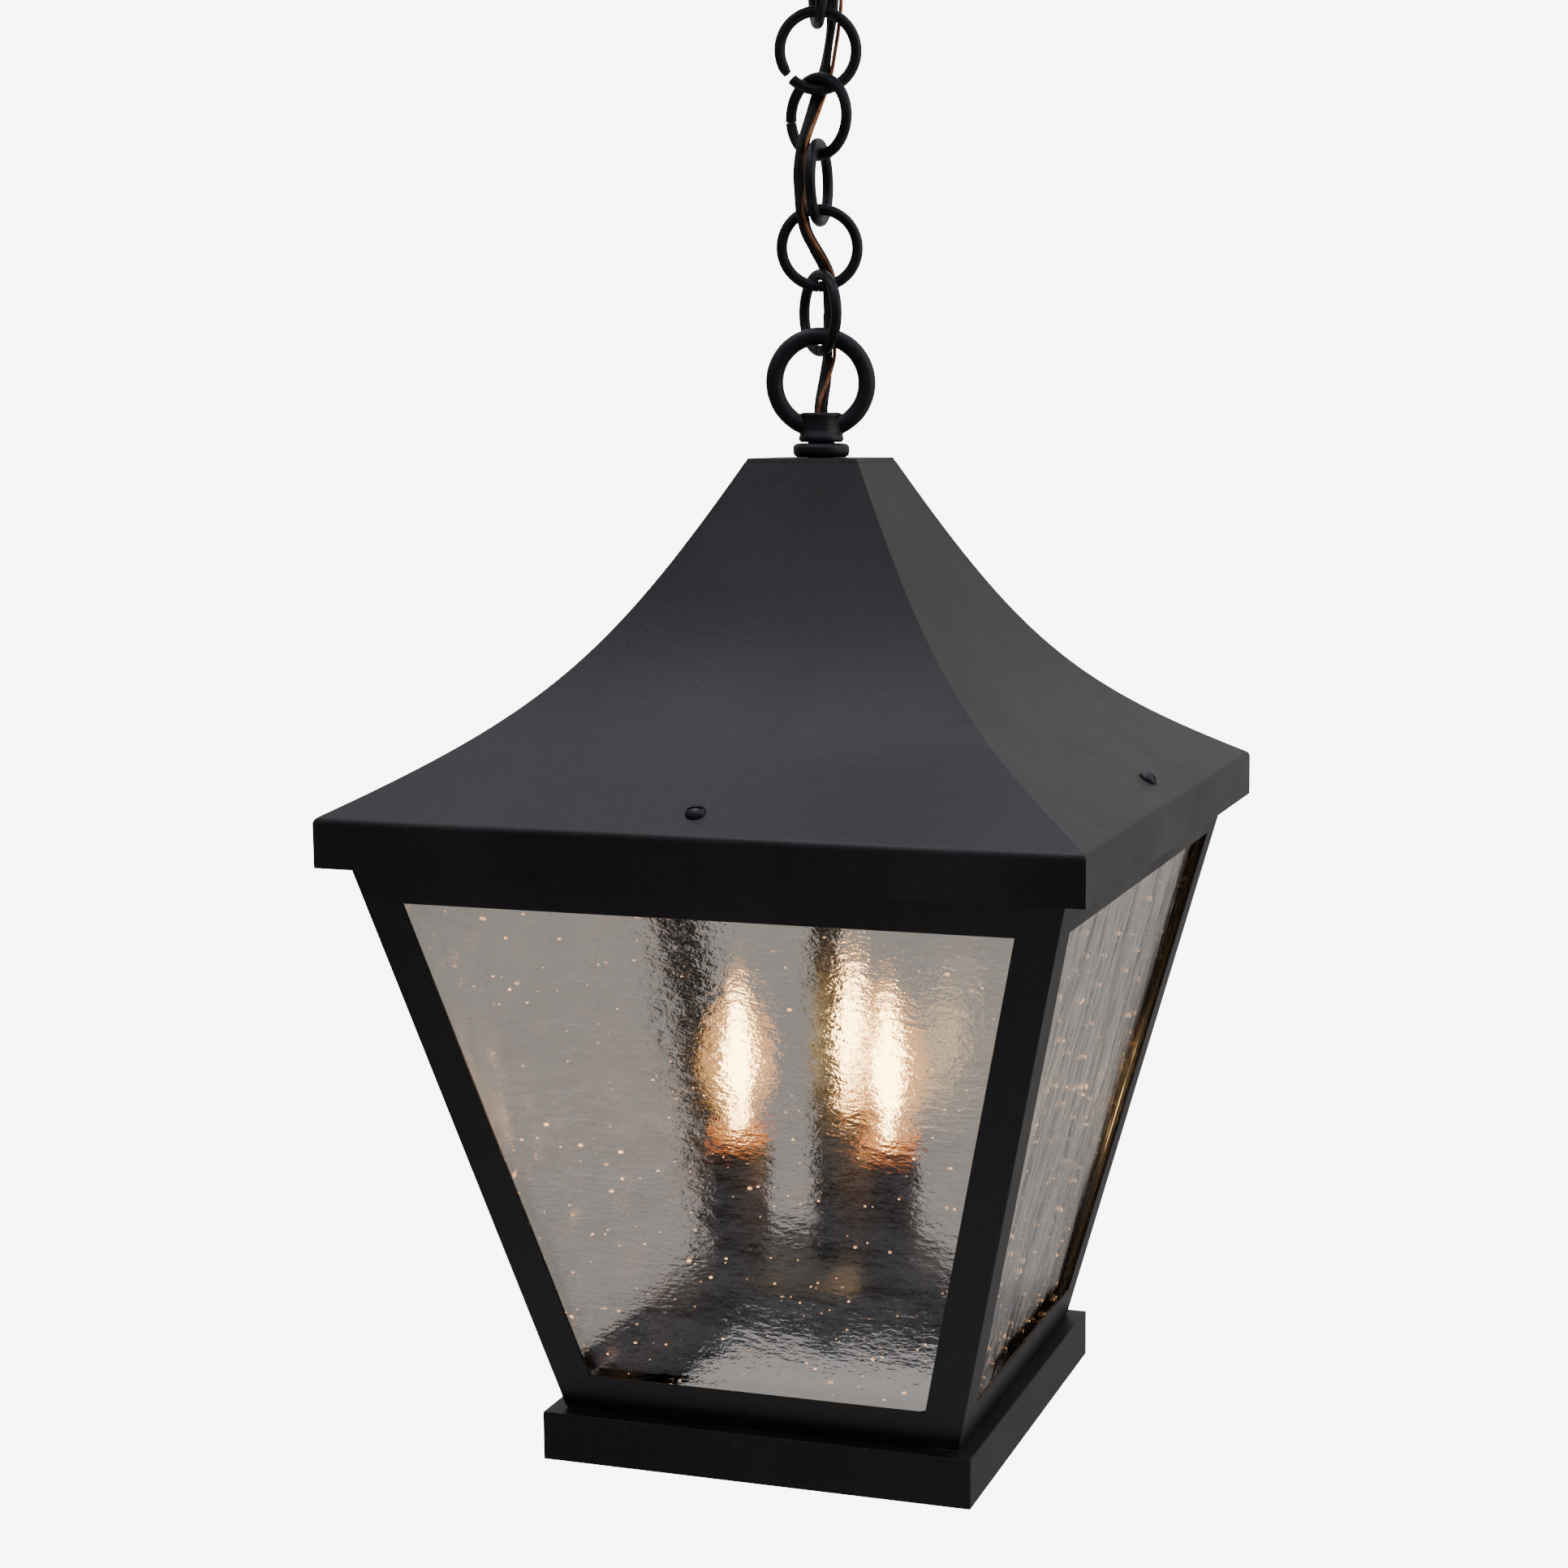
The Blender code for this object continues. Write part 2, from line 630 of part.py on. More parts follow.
def make_cluster():
    dish = [(50.0, -343.0), (50.0, -345.9), (48.6, -349.0), (45.6, -350.7), (5.8, -350.7)]
    dish += [(5.8, -349.6), (45.2, -349.6), (47.7, -348.2), (48.9, -345.6), (48.9, -343.0)]
    piece = turned("cluster_dish", dish, BLACK_IRON, 32)
    piece.location.z = ROOF_TOP * MM
    cover = [(49.6, -341.7), (50.0, -342.0), (50.0, -342.7), (5.8, -342.7), (5.8, -341.7)]
    piece = turned("cluster_cover", cover, BLACK_IRON, 32)
    piece.location.z = ROOF_TOP * MM
    finial = [(0.0, -351.0), (7.4, -351.0), (8.3, -352.0), (8.3, -379.8), (7.2, -382.2)]
    finial += [(4.4, -383.4), (0.0, -383.4)]
    piece = turned("stem_finial", finial, BLACK_IRON, 28, ring=False)
    piece.location.z = ROOF_TOP * MM
    boolean(piece, drill("finial_bore", 5.8, 26.0, (0, 0, ROOF_TOP - 362.0), steps=24))


def make_light(number, angle):
    turn = math.radians(angle)
    spot = Vector((CANDLE_CIRCLE * math.cos(turn), CANDLE_CIRCLE * math.sin(turn), ROOF_TOP))
    top = SLEEVE_TOP_Z
    sleeve = [(12.2, top), (12.5, top - 0.4), (12.5, -341.4), (11.3, -341.4), (11.3, top)]
    holder = [(0.0, -307.0), (6.5, -307.0), (6.5, -285.4), (10.9, -285.4), (10.9, -341.4), (0.0, -341.4)]
    cap = [(0.0, -286.4), (5.95, -286.4), (5.95, -302.0), (3.4, -305.0), (0.0, -306.0)]
    outer = [(0.0, -206.0), (0.9, -207.6), (2.6, -212.0), (5.6, -220.0), (9.8, -230.0), (13.6, -239.0)]
    outer += [(15.7, -247.0), (16.0, -253.0), (15.2, -259.5), (12.6, -267.5), (9.3, -275.0)]
    outer += [(7.2, -280.4), (6.2, -284.6), (6.2, -286.1)]
    inner = [(5.4, -286.1), (5.4, -284.4), (8.5, -274.6), (14.2, -259.3), (15.1, -252.0)]
    inner += [(12.8, -239.4), (9.0, -230.6), (5.0, -220.8), (0.0, -209.6)]
    made = [
        turned("candle_sleeve_" + number, sleeve, BLACK_IRON, 24),
        turned("lamp_holder_" + number, holder, PORCELAIN, 24, ring=False),
        turned("bulb_cap_" + number, cap, BRASS, 20, ring=False),
        turned("bulb_glass_" + number, outer + inner, CLEAR_GLASS, 18, ring=False),
    ]
    for piece in made:
        piece.location = spot * MM


make_mounting_bar()
make_canopy()
make_loops()
make_chain()
make_cords()
SCREW_HOLES = [screw_drill(i) for i in range(4)]
make_cap()
make_roof_panels(SCREW_HOLES)
make_roof_screws()
make_strap("roof_strap_x", False, True, (SCREW_HOLES[1], SCREW_HOLES[3]))
make_strap("roof_strap_y", True, False, (SCREW_HOLES[0], SCREW_HOLES[2]))
make_stem()
make_cage()
make_base()
make_cluster()
for light_number, light_angle in zip(("1", "2", "3"), CANDLE_ANGLES):
    make_light(light_number, light_angle)
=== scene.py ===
"""Hanging lantern, built up piece by piece round its fixed frame, from the ceiling down."""
import math
import random

import bmesh
import bpy
from mathutils import Matrix, Vector, noise


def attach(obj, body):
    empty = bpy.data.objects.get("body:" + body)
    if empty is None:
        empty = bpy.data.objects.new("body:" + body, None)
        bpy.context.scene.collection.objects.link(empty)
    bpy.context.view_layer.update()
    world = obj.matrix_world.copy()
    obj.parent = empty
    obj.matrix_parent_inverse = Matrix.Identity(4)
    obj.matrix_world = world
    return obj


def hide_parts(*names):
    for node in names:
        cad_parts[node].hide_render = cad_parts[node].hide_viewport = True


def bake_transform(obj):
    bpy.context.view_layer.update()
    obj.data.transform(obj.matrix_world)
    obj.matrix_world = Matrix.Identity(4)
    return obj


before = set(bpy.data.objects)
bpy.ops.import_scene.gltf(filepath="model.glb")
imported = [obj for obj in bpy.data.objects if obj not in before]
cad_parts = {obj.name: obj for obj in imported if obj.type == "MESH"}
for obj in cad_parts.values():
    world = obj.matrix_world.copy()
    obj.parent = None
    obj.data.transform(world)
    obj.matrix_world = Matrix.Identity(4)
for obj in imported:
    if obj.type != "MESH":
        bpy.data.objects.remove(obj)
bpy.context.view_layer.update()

MM = 0.001

# Camera: standing a little to the right of the front glass, looking slightly down on the lantern.
view_yaw = math.radians(16.438)
view_pitch = math.radians(7.827)
camera_data = bpy.data.cameras.new("camera")
camera_data.lens = 60.70
camera_data.sensor_width = 36.0
camera_data.shift_x = -0.1294
camera = bpy.data.objects.new("camera", camera_data)
camera.location = (0.37755, -1.03771, -0.25816)
camera.rotation_euler = (math.radians(90.0) - view_pitch, 0.0, view_yaw)
bpy.context.scene.collection.objects.link(camera)
bpy.context.scene.camera = camera


# Supply cord: a flat twin lead in soft brown-black PVC, woven through the chain from the ceiling to the
# fixture loop, where it goes down the stem. It bends at every link, so it is made in seven lengths.

class Value:
    """One output in a finish's node tree. Sums on it add the nodes that work them out."""

    def __init__(self, tree, output):
        self.tree = tree
        self.output = output

    def node(self, kind, settings=None, sockets=None, out=0):
        made = self.tree.nodes.new(kind)
        for key, value in (settings or {}).items():
            setattr(made, key, value)
        for key, value in (sockets or {}).items():
            if isinstance(value, Value):
                self.tree.links.new(value.output, made.inputs[key])
            else:
                made.inputs[key].default_value = value
        return Value(self.tree, made.outputs[out])

    def sum(self, operation, first, second):
        return self.node("ShaderNodeMath", {"operation": operation}, {0: first, 1: second})

    def __add__(self, other):
        return self.sum("ADD", self, other)

    def __radd__(self, other):
        return self.sum("ADD", other, self)

    def __sub__(self, other):
        return self.sum("SUBTRACT", self, other)

    def __rsub__(self, other):
        return self.sum("SUBTRACT", other, self)

    def __mul__(self, other):
        return self.sum("MULTIPLY", self, other)

    def __rmul__(self, other):
        return self.sum("MULTIPLY", other, self)

    def between(self, low, high):
        """0 at low, 1 at high, with soft ends."""
        settings = {"interpolation_type": "SMOOTHSTEP"}
        return self.node("ShaderNodeMapRange", settings, {0: self, 1: low, 2: high, 3: 0.0, 4: 1.0})

    def stretched(self, x, y, z):
        """A place, scaled along each axis, for a grain that runs one way."""
        return self.node("ShaderNodeVectorMath", {"operation": "MULTIPLY"}, {0: self, 1: (x, y, z)})

    def noise(self, scale, detail=4.0, roughness=0.55, distortion=0.0):
        sockets = {"Vector": self, "Scale": scale, "Detail": detail, "Roughness": roughness}
        return self.node("ShaderNodeTexNoise", None, {**sockets, "Distortion": distortion})

    def cells(self, scale):
        return self.node("ShaderNodeTexVoronoi", None, {"Vector": self, "Scale": scale})

    def colours(self, first, second):
        """From the first colour at 0 to the second at 1."""
        sockets = {0: self, 6: (*first, 1.0) if isinstance(first, tuple) else first}
        sockets[7] = (*second, 1.0) if isinstance(second, tuple) else second
        return self.node("ShaderNodeMix", {"data_type": "RGBA"}, sockets, out=2)

    def bump(self, strength, distance):
        sockets = {"Height": self, "Strength": strength, "Distance": distance}
        return self.node("ShaderNodeBump", None, sockets)


def new_finish(name):
    """A Principled finish, its shader, and the place on the piece that its grain is laid out by."""
    made = bpy.data.materials.new(name)
    made.use_nodes = True
    tree = made.node_tree
    shader = tree.nodes["Principled BSDF"]
    start = Value(tree, None)
    place = start.node("ShaderNodeTexCoord", None, None, 3)
    return made, shader, place


def wear(shader, **sockets):
    """Sets the shader's sockets: a Value is linked, a number or colour is set on the socket itself."""
    for name, value in sockets.items():
        socket = shader.inputs[name.replace("_", " ")]
        if isinstance(value, Value):
            value.tree.links.new(value.output, socket)
        else:
            socket.default_value = (*value, 1.0) if isinstance(value, tuple) else value


def make_piece(name, mesh, finish, smooth_below=35.0):
    for poly in mesh.polygons:
        poly.use_smooth = True
    mesh.set_sharp_from_angle(angle=math.radians(smooth_below))
    mesh.materials.append(finish)
    obj = bpy.data.objects.new(name, mesh)
    bpy.context.scene.collection.objects.link(obj)
    return obj


def mesh_from(name, build):
    """A mesh in metres, filled by a function that is given an empty edit mesh in millimetres."""
    edit = bmesh.new()
    build(edit)
    bmesh.ops.recalc_face_normals(edit, faces=edit.faces)
    bmesh.ops.scale(edit, vec=(MM, MM, MM), verts=edit.verts)
    mesh = bpy.data.meshes.new(name)
    edit.to_mesh(mesh)
    edit.free()
    return mesh


def loft(edit, rings, closed=False):
    """Joins rings of points, each with the same count, and closes the two ends unless they meet."""
    rows = [[edit.verts.new(p) for p in ring] for ring in rings]
    pairs = list(zip(rows, rows[1:]))
    if closed:
        pairs.append((rows[-1], rows[0]))
    for first, second in pairs:
        count = len(first)
        for k in range(count):
            edit.faces.new((first[k], first[(k + 1) % count], second[(k + 1) % count], second[k]))
    if not closed:
        edit.faces.new(rows[0])
        edit.faces.new(tuple(reversed(rows[-1])))


def sweep(edit, path, outline, up, spin):
    """Carries an outline along a path without twist, apart from the spin asked for."""
    rings = []
    side = up
    for i, point in enumerate(path):
        ahead = path[min(i + 1, len(path) - 1)] - path[max(i - 1, 0)]
        ahead.normalize()
        side = side - ahead * side.dot(ahead)
        side.normalize()
        other = ahead.cross(side)
        turn = spin(i / (len(path) - 1))
        a, b = math.cos(turn), math.sin(turn)
        rings.append([point + (side * (x * a - y * b) + other * (x * b + y * a)) for x, y in outline])
    loft(edit, rings)


def circle(radius, count):
    turns = [math.tau * k / count for k in range(count)]
    return [(radius * math.cos(turn), radius * math.sin(turn)) for turn in turns]


def through(points, per_span):
    """A smooth line through the points, laid evenly in each span."""
    points = [Vector(p) for p in points]
    ends = [points[0] * 2 - points[1]] + points + [points[-1] * 2 - points[-2]]
    out = []
    for i in range(1, len(ends) - 2):
        before, start, stop, after = ends[i - 1], ends[i], ends[i + 1], ends[i + 2]
        pairs = ((before, start), (start, stop), (stop, after))
        first, middle, last = [max((b - a).length, 1e-6) ** 0.5 for a, b in pairs]
        leave = (start - before) / first - (stop - before) / (first + middle) + (stop - start) / middle
        reach = (stop - start) / middle - (after - start) / (middle + last) + (after - stop) / last
        for k in range(per_span):
            t = k / per_span
            point = start * (2 * t**3 - 3 * t**2 + 1) + stop * (3 * t**2 - 2 * t**3)
            out.append(point + (leave * (t**3 - 2 * t**2 + t) + reach * (t**3 - t**2)) * middle)
    out.append(points[-1])
    return out


face_turn = math.radians(16.4)
across_chain = Vector((math.cos(face_turn), math.sin(face_turn), 0.0))
toward_front = Vector((math.sin(face_turn), -math.cos(face_turn), 0.0))
cord_route = (
    (0.0, 0.0, -1.0), (0.0, 0.0, -12.0), (0.0, 0.0, -24.0), (0.0, 0.0, -36.0), (0.0, 0.0, -41.0),
    (0.0, 0.0, -43.4), (0.3, -0.4, -46.5), (2.1, -2.6, -54.0), (4.4, -6.0, -63.0),
    (5.5, -7.5, -72.0), (5.6, -7.6, -84.0), (5.3, -7.2, -96.0), (3.5, -6.8, -109.0),
    (1.5, -6.6, -120.0), (-2.6, -3.2, -134.0), (-6.2, 2.4, -147.0), (-7.5, 4.2, -158.0),
    (-7.1, 5.3, -167.0), (-6.6, 5.8, -174.5), (-5.2, 4.0, -181.5), (-1.8, -0.9, -188.5),
    (1.2, -4.2, -194.0), (3.2, -6.6, -199.5), (3.3, -7.5, -208.0), (2.6, -7.6, -219.0),
    (2.5, -7.6, -230.0), (1.6, -4.2, -241.0), (0.5, -1.2, -248.5), (0.1, -0.2, -252.0),
    (0.0, 0.0, -254.4), (0.0, 0.0, -257.0), (0.0, 0.0, -264.0), (0.0, 0.0, -320.0),
    (0.0, 0.0, -420.0), (0.0, 0.0, -520.0), (0.0, 0.0, -606.0),
)
cord_line = through([across_chain * u + toward_front * v + Vector((0, 0, z)) for u, v, z in cord_route], 6)
twin_width = 5.6
twin_thick = 3.1
lobe_step = 26
twin_outline = []
for lobe_side in (1, -1):
    for step in range(9):
        lobe_angle = math.radians(-4 * lobe_step + lobe_step * step) + (0 if lobe_side == 1 else math.pi)
        lobe_centre = lobe_side * (twin_width - twin_thick) / 2
        twin_outline.append((
            lobe_centre + twin_thick / 2 * math.cos(lobe_angle),
            twin_thick / 2 * math.sin(lobe_angle),
        ))

sheath, sheath_shader, sheath_place = new_finish("soft_pvc_sheath")
sheath_grain = sheath_place.stretched(1, 1, 0.35).noise(900.0, 5.0)
sheath_dust = sheath_place.noise(160.0, 6.0, 0.7).between(0.45, 0.75)
wear(
    sheath_shader,
    Base_Color=sheath_dust.colours((0.016, 0.011, 0.009), (0.05, 0.038, 0.032)),
    Roughness=0.34 + 0.2 * sheath_grain,
    Normal=sheath_grain.bump(0.25, 0.0002),
)

link_wire = 4.5
link_ring = 15.5
link_pitch = 26.2
first_link = -83.35
canopy_pivot = -55.0
lantern_pivot = -242.7
link_centres = [first_link - link_pitch * k for k in range(6)]
cord_cuts = [canopy_pivot] + link_centres + [lantern_pivot]


def cut_line(line, high, low):
    """The stretch of a line between two heights, with its ends exactly there."""
    out = []
    for a, b in zip(line, line[1:]):
        for level in (high, low):
            if a.z > level >= b.z:
                out.append(a.lerp(b, (a.z - level) / (a.z - b.z)))
        if high > b.z > low:
            out.append(b.copy())
    return out


def woven_lengths(name, line, outline, finish, top, foot, spin):
    """Makes a woven lead in lengths that run from one link's centre to the next and bend between them."""
    for k in range(7):
        high = top if k == 0 else cord_cuts[k]
        low = foot if k == 6 else cord_cuts[k + 1]
        stretch = cut_line(line, high, low)

        def build(edit, stretch=stretch):
            sweep(edit, stretch, outline, across_chain.copy(), lambda t: spin(stretch, t))

        piece = make_piece(name + "_" + str(k + 1), mesh_from(name, build), finish, 60.0)
        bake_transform(piece)
        yield piece


def twin_spin(stretch, t):
    """The flat lead turns its face as it passes each link."""
    z = stretch[min(int(t * len(stretch)), len(stretch) - 1)].z
    return 0.9 * math.sin(z / 21.0) + 0.5 * math.sin(z / 9.0 + 1.0) if -250.0 < z < -50.0 else 0.0


cord_top = -1.0
cord_foot = -606.0
cord_lengths = woven_lengths("twin_lead", cord_line, twin_outline, sheath, cord_top, cord_foot, twin_spin)
for length_of_cord in cord_lengths:
    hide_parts("supply_cord")


# Earth wire: a bare copper wire laid beside the cord, dulled brown and brighter where the links rub it.
# It is pinched under a screw in each loop's collar.

earth_angles = (
    (-34.0, 30.0), (-44.0, 20.0), (-60.0, -30.0), (-80.0, -30.0), (-96.0, 20.0), (-122.0, 30.0),
    (-135.0, 45.0), (-148.0, 60.0), (-162.0, 40.0), (-175.0, 80.0), (-190.0, 70.0),
    (-214.0, 45.0), (-232.0, 30.0), (-249.0, 95.0), (-257.0, 110.0),
)
earth_stand_off = 3.5
earth_end_high = -38.0
earth_end_low = -257.5
earth_wire_radius = 0.8


def earth_turn(z):
    for (high, first), (low, second) in zip(earth_angles, earth_angles[1:]):
        if high >= z >= low:
            return math.radians(first + (second - first) * (high - z) / (high - low))
    return math.radians(earth_angles[-1][1])


earth_line = []
for point in cord_line:
    if earth_end_high >= point.z >= earth_end_low:
        turn = earth_turn(point.z)
        off = (across_chain * math.cos(turn) + toward_front * math.sin(turn)) * earth_stand_off
        earth_line.append(point + off)

copper, copper_shader, copper_place = new_finish("bare_copper")
copper_tarnish = copper_place.noise(220.0, 5.0, 0.6).between(0.35, 0.7)
copper_draw = copper_place.stretched(1, 1, 0.08).noise(1500.0, 2.0)
wear(
    copper_shader,
    Base_Color=copper_tarnish.colours((0.55, 0.22, 0.10), (0.20, 0.085, 0.05)),
    Metallic=0.9,
    Roughness=0.3 + 0.25 * copper_tarnish,
    Normal=copper_draw.bump(0.2, 0.0001),
)
earth_top = earth_line[0].z - 0.01
earth_foot = earth_line[-1].z + 0.01


def no_spin(stretch, t):
    return 0.0


wire_section = circle(earth_wire_radius, 10)
wire_lengths = woven_lengths("earth_wire", earth_line, wire_section, copper, earth_top, earth_foot, no_spin)
for length_of_wire in wire_lengths:
    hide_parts("ground_wire")


# Black finish: every iron piece is dipped in the same soft black lacquer, thin enough to show the sheet's
# grain. It is rubbed a little on the edges and holds some dust on top.

def black_lacquer(name, base=(0.009, 0.009, 0.010), dust=(0.022, 0.0225, 0.025), rough=0.42, grain=1.0):
    made, shader, place = new_finish(name)
    cloud = place.noise(14.0, 6.0, 0.62).between(0.3, 0.75)
    speck = place.noise(420.0, 3.0, 0.7).between(0.52, 0.72)
    orange_peel = place.noise(650.0, 2.0, 0.5)
    scuff = place.stretched(1, 1, 0.2).noise(90.0, 8.0, 0.75).between(0.56, 0.72)
    colour = cloud.colours(base, dust)
    colour = (scuff * 0.3).colours(colour, (0.045, 0.043, 0.042))
    wear(
        shader,
        Base_Color=(speck * 0.3).colours(colour, (0.05, 0.05, 0.049)),
        Metallic=0.25,
        Roughness=rough + 0.12 * cloud + 0.1 * scuff,
        Normal=(orange_peel + 0.6 * speck).bump(0.12 * grain, 0.0004),
    )
    return made


cast_black = black_lacquer("cast_black", (0.0105, 0.0115, 0.015), (0.025, 0.0275, 0.036), 0.36, 1.6)


def ride_as(piece, body, slot, *nodes):
    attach(piece, body)
    if nodes:
        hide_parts(*nodes)
    return piece


def turned(name, profile, finish, steps=48, at=(0.0, 0.0, 0.0), smooth_below=35.0, ring=True):
    """A lathe piece from its half section, given in millimetres as radius and height."""
    def build(edit):
        for k in range(steps):
            a, b = math.tau * k / steps, math.tau * (k + 1) / steps
            count = len(profile)
            for i in range(count if ring else count - 1):
                (r0, z0), (r1, z1) = profile[i], profile[(i + 1) % count]
                corners = [(r0, z0, a), (r1, z1, a), (r1, z1, b), (r0, z0, b)]
                places = []
                for r, z, turn in corners:
                    spot = (round(r * math.cos(turn), 6), round(r * math.sin(turn), 6), z)
                    if spot not in places:
                        places.append(spot)
                if len(places) > 2:
                    edit.faces.new([edit.verts.new(p) for p in places])
        bmesh.ops.remove_doubles(edit, verts=edit.verts, dist=0.0005)
        bmesh.ops.translate(edit, vec=at, verts=edit.verts)
    return make_piece(name, mesh_from(name, build), finish, smooth_below)


# Ceiling fitting: a plated bar screwed to the ceiling box, a hollow nipple through it, and a spun canopy
# that hides both. The canopy is drawn up by its loop.

plated, plated_shader, plated_place = new_finish("zinc_plate")
plated_spangle = plated_place.cells(260.0).between(0.1, 0.7)
plated_scratch = plated_place.stretched(0.15, 1, 1).noise(800.0, 4.0)
wear(
    plated_shader,
    Base_Color=plated_spangle.colours((0.42, 0.42, 0.44), (0.55, 0.55, 0.56)),
    Metallic=1.0,
    Roughness=0.28 + 0.2 * plated_scratch,
    Normal=plated_scratch.bump(0.15, 0.0002),
)


def refinish(node, finish):
    """Gives a piece that keeps its plain shape its finish."""
    materials = bpy.data.objects[node].data.materials
    materials.clear()
    materials.append(finish)


for plated_node in ("mounting_bar", "canopy_nipple", "roof_locknut", "strap_locknut"):
    refinish(plated_node, plated)

canopy_black = black_lacquer("spun_black", rough=0.36)
canopy_section = [
    (60.0, -0.3), (60.0, -3.0), (59.6, -4.2), (58.4, -5.3), (54.5, -6.8), (50.0, -8.2), (44.0, -10.3),
    (38.0, -12.6), (32.0, -15.1), (26.0, -17.6), (21.0, -19.7), (17.0, -21.4), (14.6, -22.9),
    (12.6, -24.0), (5.4, -24.0), (5.4, -22.8), (12.0, -22.8), (16.5, -20.2), (25.5, -16.4),
    (37.5, -11.4), (49.5, -7.0), (57.8, -4.4), (58.8, -3.0), (58.8, -0.3),
]
ride_as(turned("spun_canopy", canopy_section, canopy_black, 96), "ceiling", "black_iron", "canopy")


# Loops: each is a cast ring standing on a short bored collar. The casting's skin is slightly rough, and
# the ring's feet flow into the collar. The lower one sits on a turned ring on top of the roof.

canopy_foot = -24.3
roof_top = -273.4
canopy_loop_turn = math.radians(-26.4)
loop_ring = 19.0
loop_wire = 7.2
loop_rise = 30.7
casting_voxel = 0.42
lump_scale = 260.0
lump_height = 0.00007
collar_section = [
    (4.5, 18.6), (7.5, 18.6), (8.1, 18.3), (8.3, 17.6), (8.1, 16.7), (7.8, 16.1), (7.8, 13.0),
    (8.1, 10.8), (9.2, 8.6), (9.3, 7.4), (8.7, 6.4),
]
collar_bore = [(5.8, 14.3), (4.5, 14.3)]
bore_section = [(0.0, 30.0), (4.5, 30.0), (4.5, 10.0), (0.0, 10.0)]


def cast_loop(name, foot, ring_turn, seat_z, upright, body, node):
    section = collar_section + foot + collar_bore
    collar = turned(name, section, cast_black, 64)
    stand = Matrix.Rotation(ring_turn, 4, "Z") @ Matrix.Rotation(math.radians(90.0), 4, "X")

    def build_ring(edit):
        ring_band(edit, loop_ring, loop_wire / 2, stand, loop_rise)

    ring = make_piece(name + "_ring", mesh_from(name + "_ring", build_ring), cast_black)
    bore = turned(name + "_bore", bore_section, cast_black, 48, ring=False)
    for operation, tool in (("UNION", ring), ("DIFFERENCE", bore)):
        join = collar.modifiers.new(operation, "BOOLEAN")
        join.operation = operation
        join.solver = "EXACT"
        join.object = tool
    skin = collar.modifiers.new("skin", "REMESH")
    skin.mode = "VOXEL"
    skin.voxel_size = casting_voxel * MM
    skin.use_smooth_shade = True
    flow = collar.modifiers.new("flow", "SMOOTH")
    flow.factor = 0.5
    flow.iterations = 5
    graph = bpy.context.evaluated_depsgraph_get()
    cast = bpy.data.meshes.new_from_object(collar.evaluated_get(graph))
    for spent in (ring, bore, collar):
        bpy.data.objects.remove(spent, do_unlink=True)
    lumps = [v.co + v.normal * noise.noise(v.co * lump_scale) * lump_height for v in cast.vertices]
    cast.vertices.foreach_set("co", [c for spot in lumps for c in spot])
    cast.update()
    turn = Matrix.Identity(4) if upright else Matrix.Rotation(math.pi, 4, "X")
    cast.transform(Matrix.Translation((0.0, 0.0, seat_z * MM)) @ turn)
    ride_as(make_piece(name, cast, cast_black, 180.0), body, "black_iron", node)


def ring_band(edit, ring_radius, wire_radius, stand, rise, steps=96, round_steps=24):
    rings = []
    for k in range(steps):
        angle = math.tau * k / steps
        out = Vector((math.cos(angle), math.sin(angle), 0.0))
        ring = []
        for x, y in circle(wire_radius, round_steps):
            ring.append(stand @ (out * (ring_radius + x) + Vector((0, 0, y))) + Vector((0, 0, rise)))
        rings.append(ring)
    loft(edit, rings, True)


bead_foot = [
    (9.6, 6.0), (11.0, 5.6), (11.7, 4.5), (11.7, 2.0), (11.1, 0.8), (10.2, 0.3), (5.8, 0.3),
]
cast_loop("canopy_loop_casting", bead_foot, canopy_loop_turn, canopy_foot, False, "ceiling", "canopy_loop")
cast_loop("fixture_loop_casting", [(5.8, 6.3)], face_turn, roof_top, True, "lantern", "fixture_loop")
seat_section = [
    (5.8, 6.0), (9.4, 6.0), (10.6, 5.7), (11.4, 5.0), (11.7, 4.1), (11.7, 2.4), (11.4, 1.3), (10.7, 0.6),
    (10.0, 0.3), (5.8, 0.3),
]
seat = turned("turned_seat_ring", seat_section, cast_black, 64, (0, 0, roof_top))
ride_as(seat, "lantern", "black_iron", "loop_seat_ring")


# Chain: six lengths of round wire, each bent into a ring and left butted, not welded. The cut ends do not
# quite meet, and the wire is scuffed where the links bear on each other.

link_turns = (-63.6, 16.4, -23.6, 96.4, 16.4, -45.0)
butt_angles = (150.0, 222.0, 185.0, 60.0, 268.0, 275.0)
butt_gaps = (0.1, 2.4, 0.4, 0.1, 0.1, 0.1)
end_round = 0.35
end_sizes = (1.0, 0.95, 0.84)
end_steps = (0.0, 0.7, 1.0)
taper_from = 0.975
taper_rate = 9.0
chain_black = black_lacquer("chain_black", (0.0075, 0.0083, 0.011), (0.018, 0.020, 0.026), 0.34, 1.4)


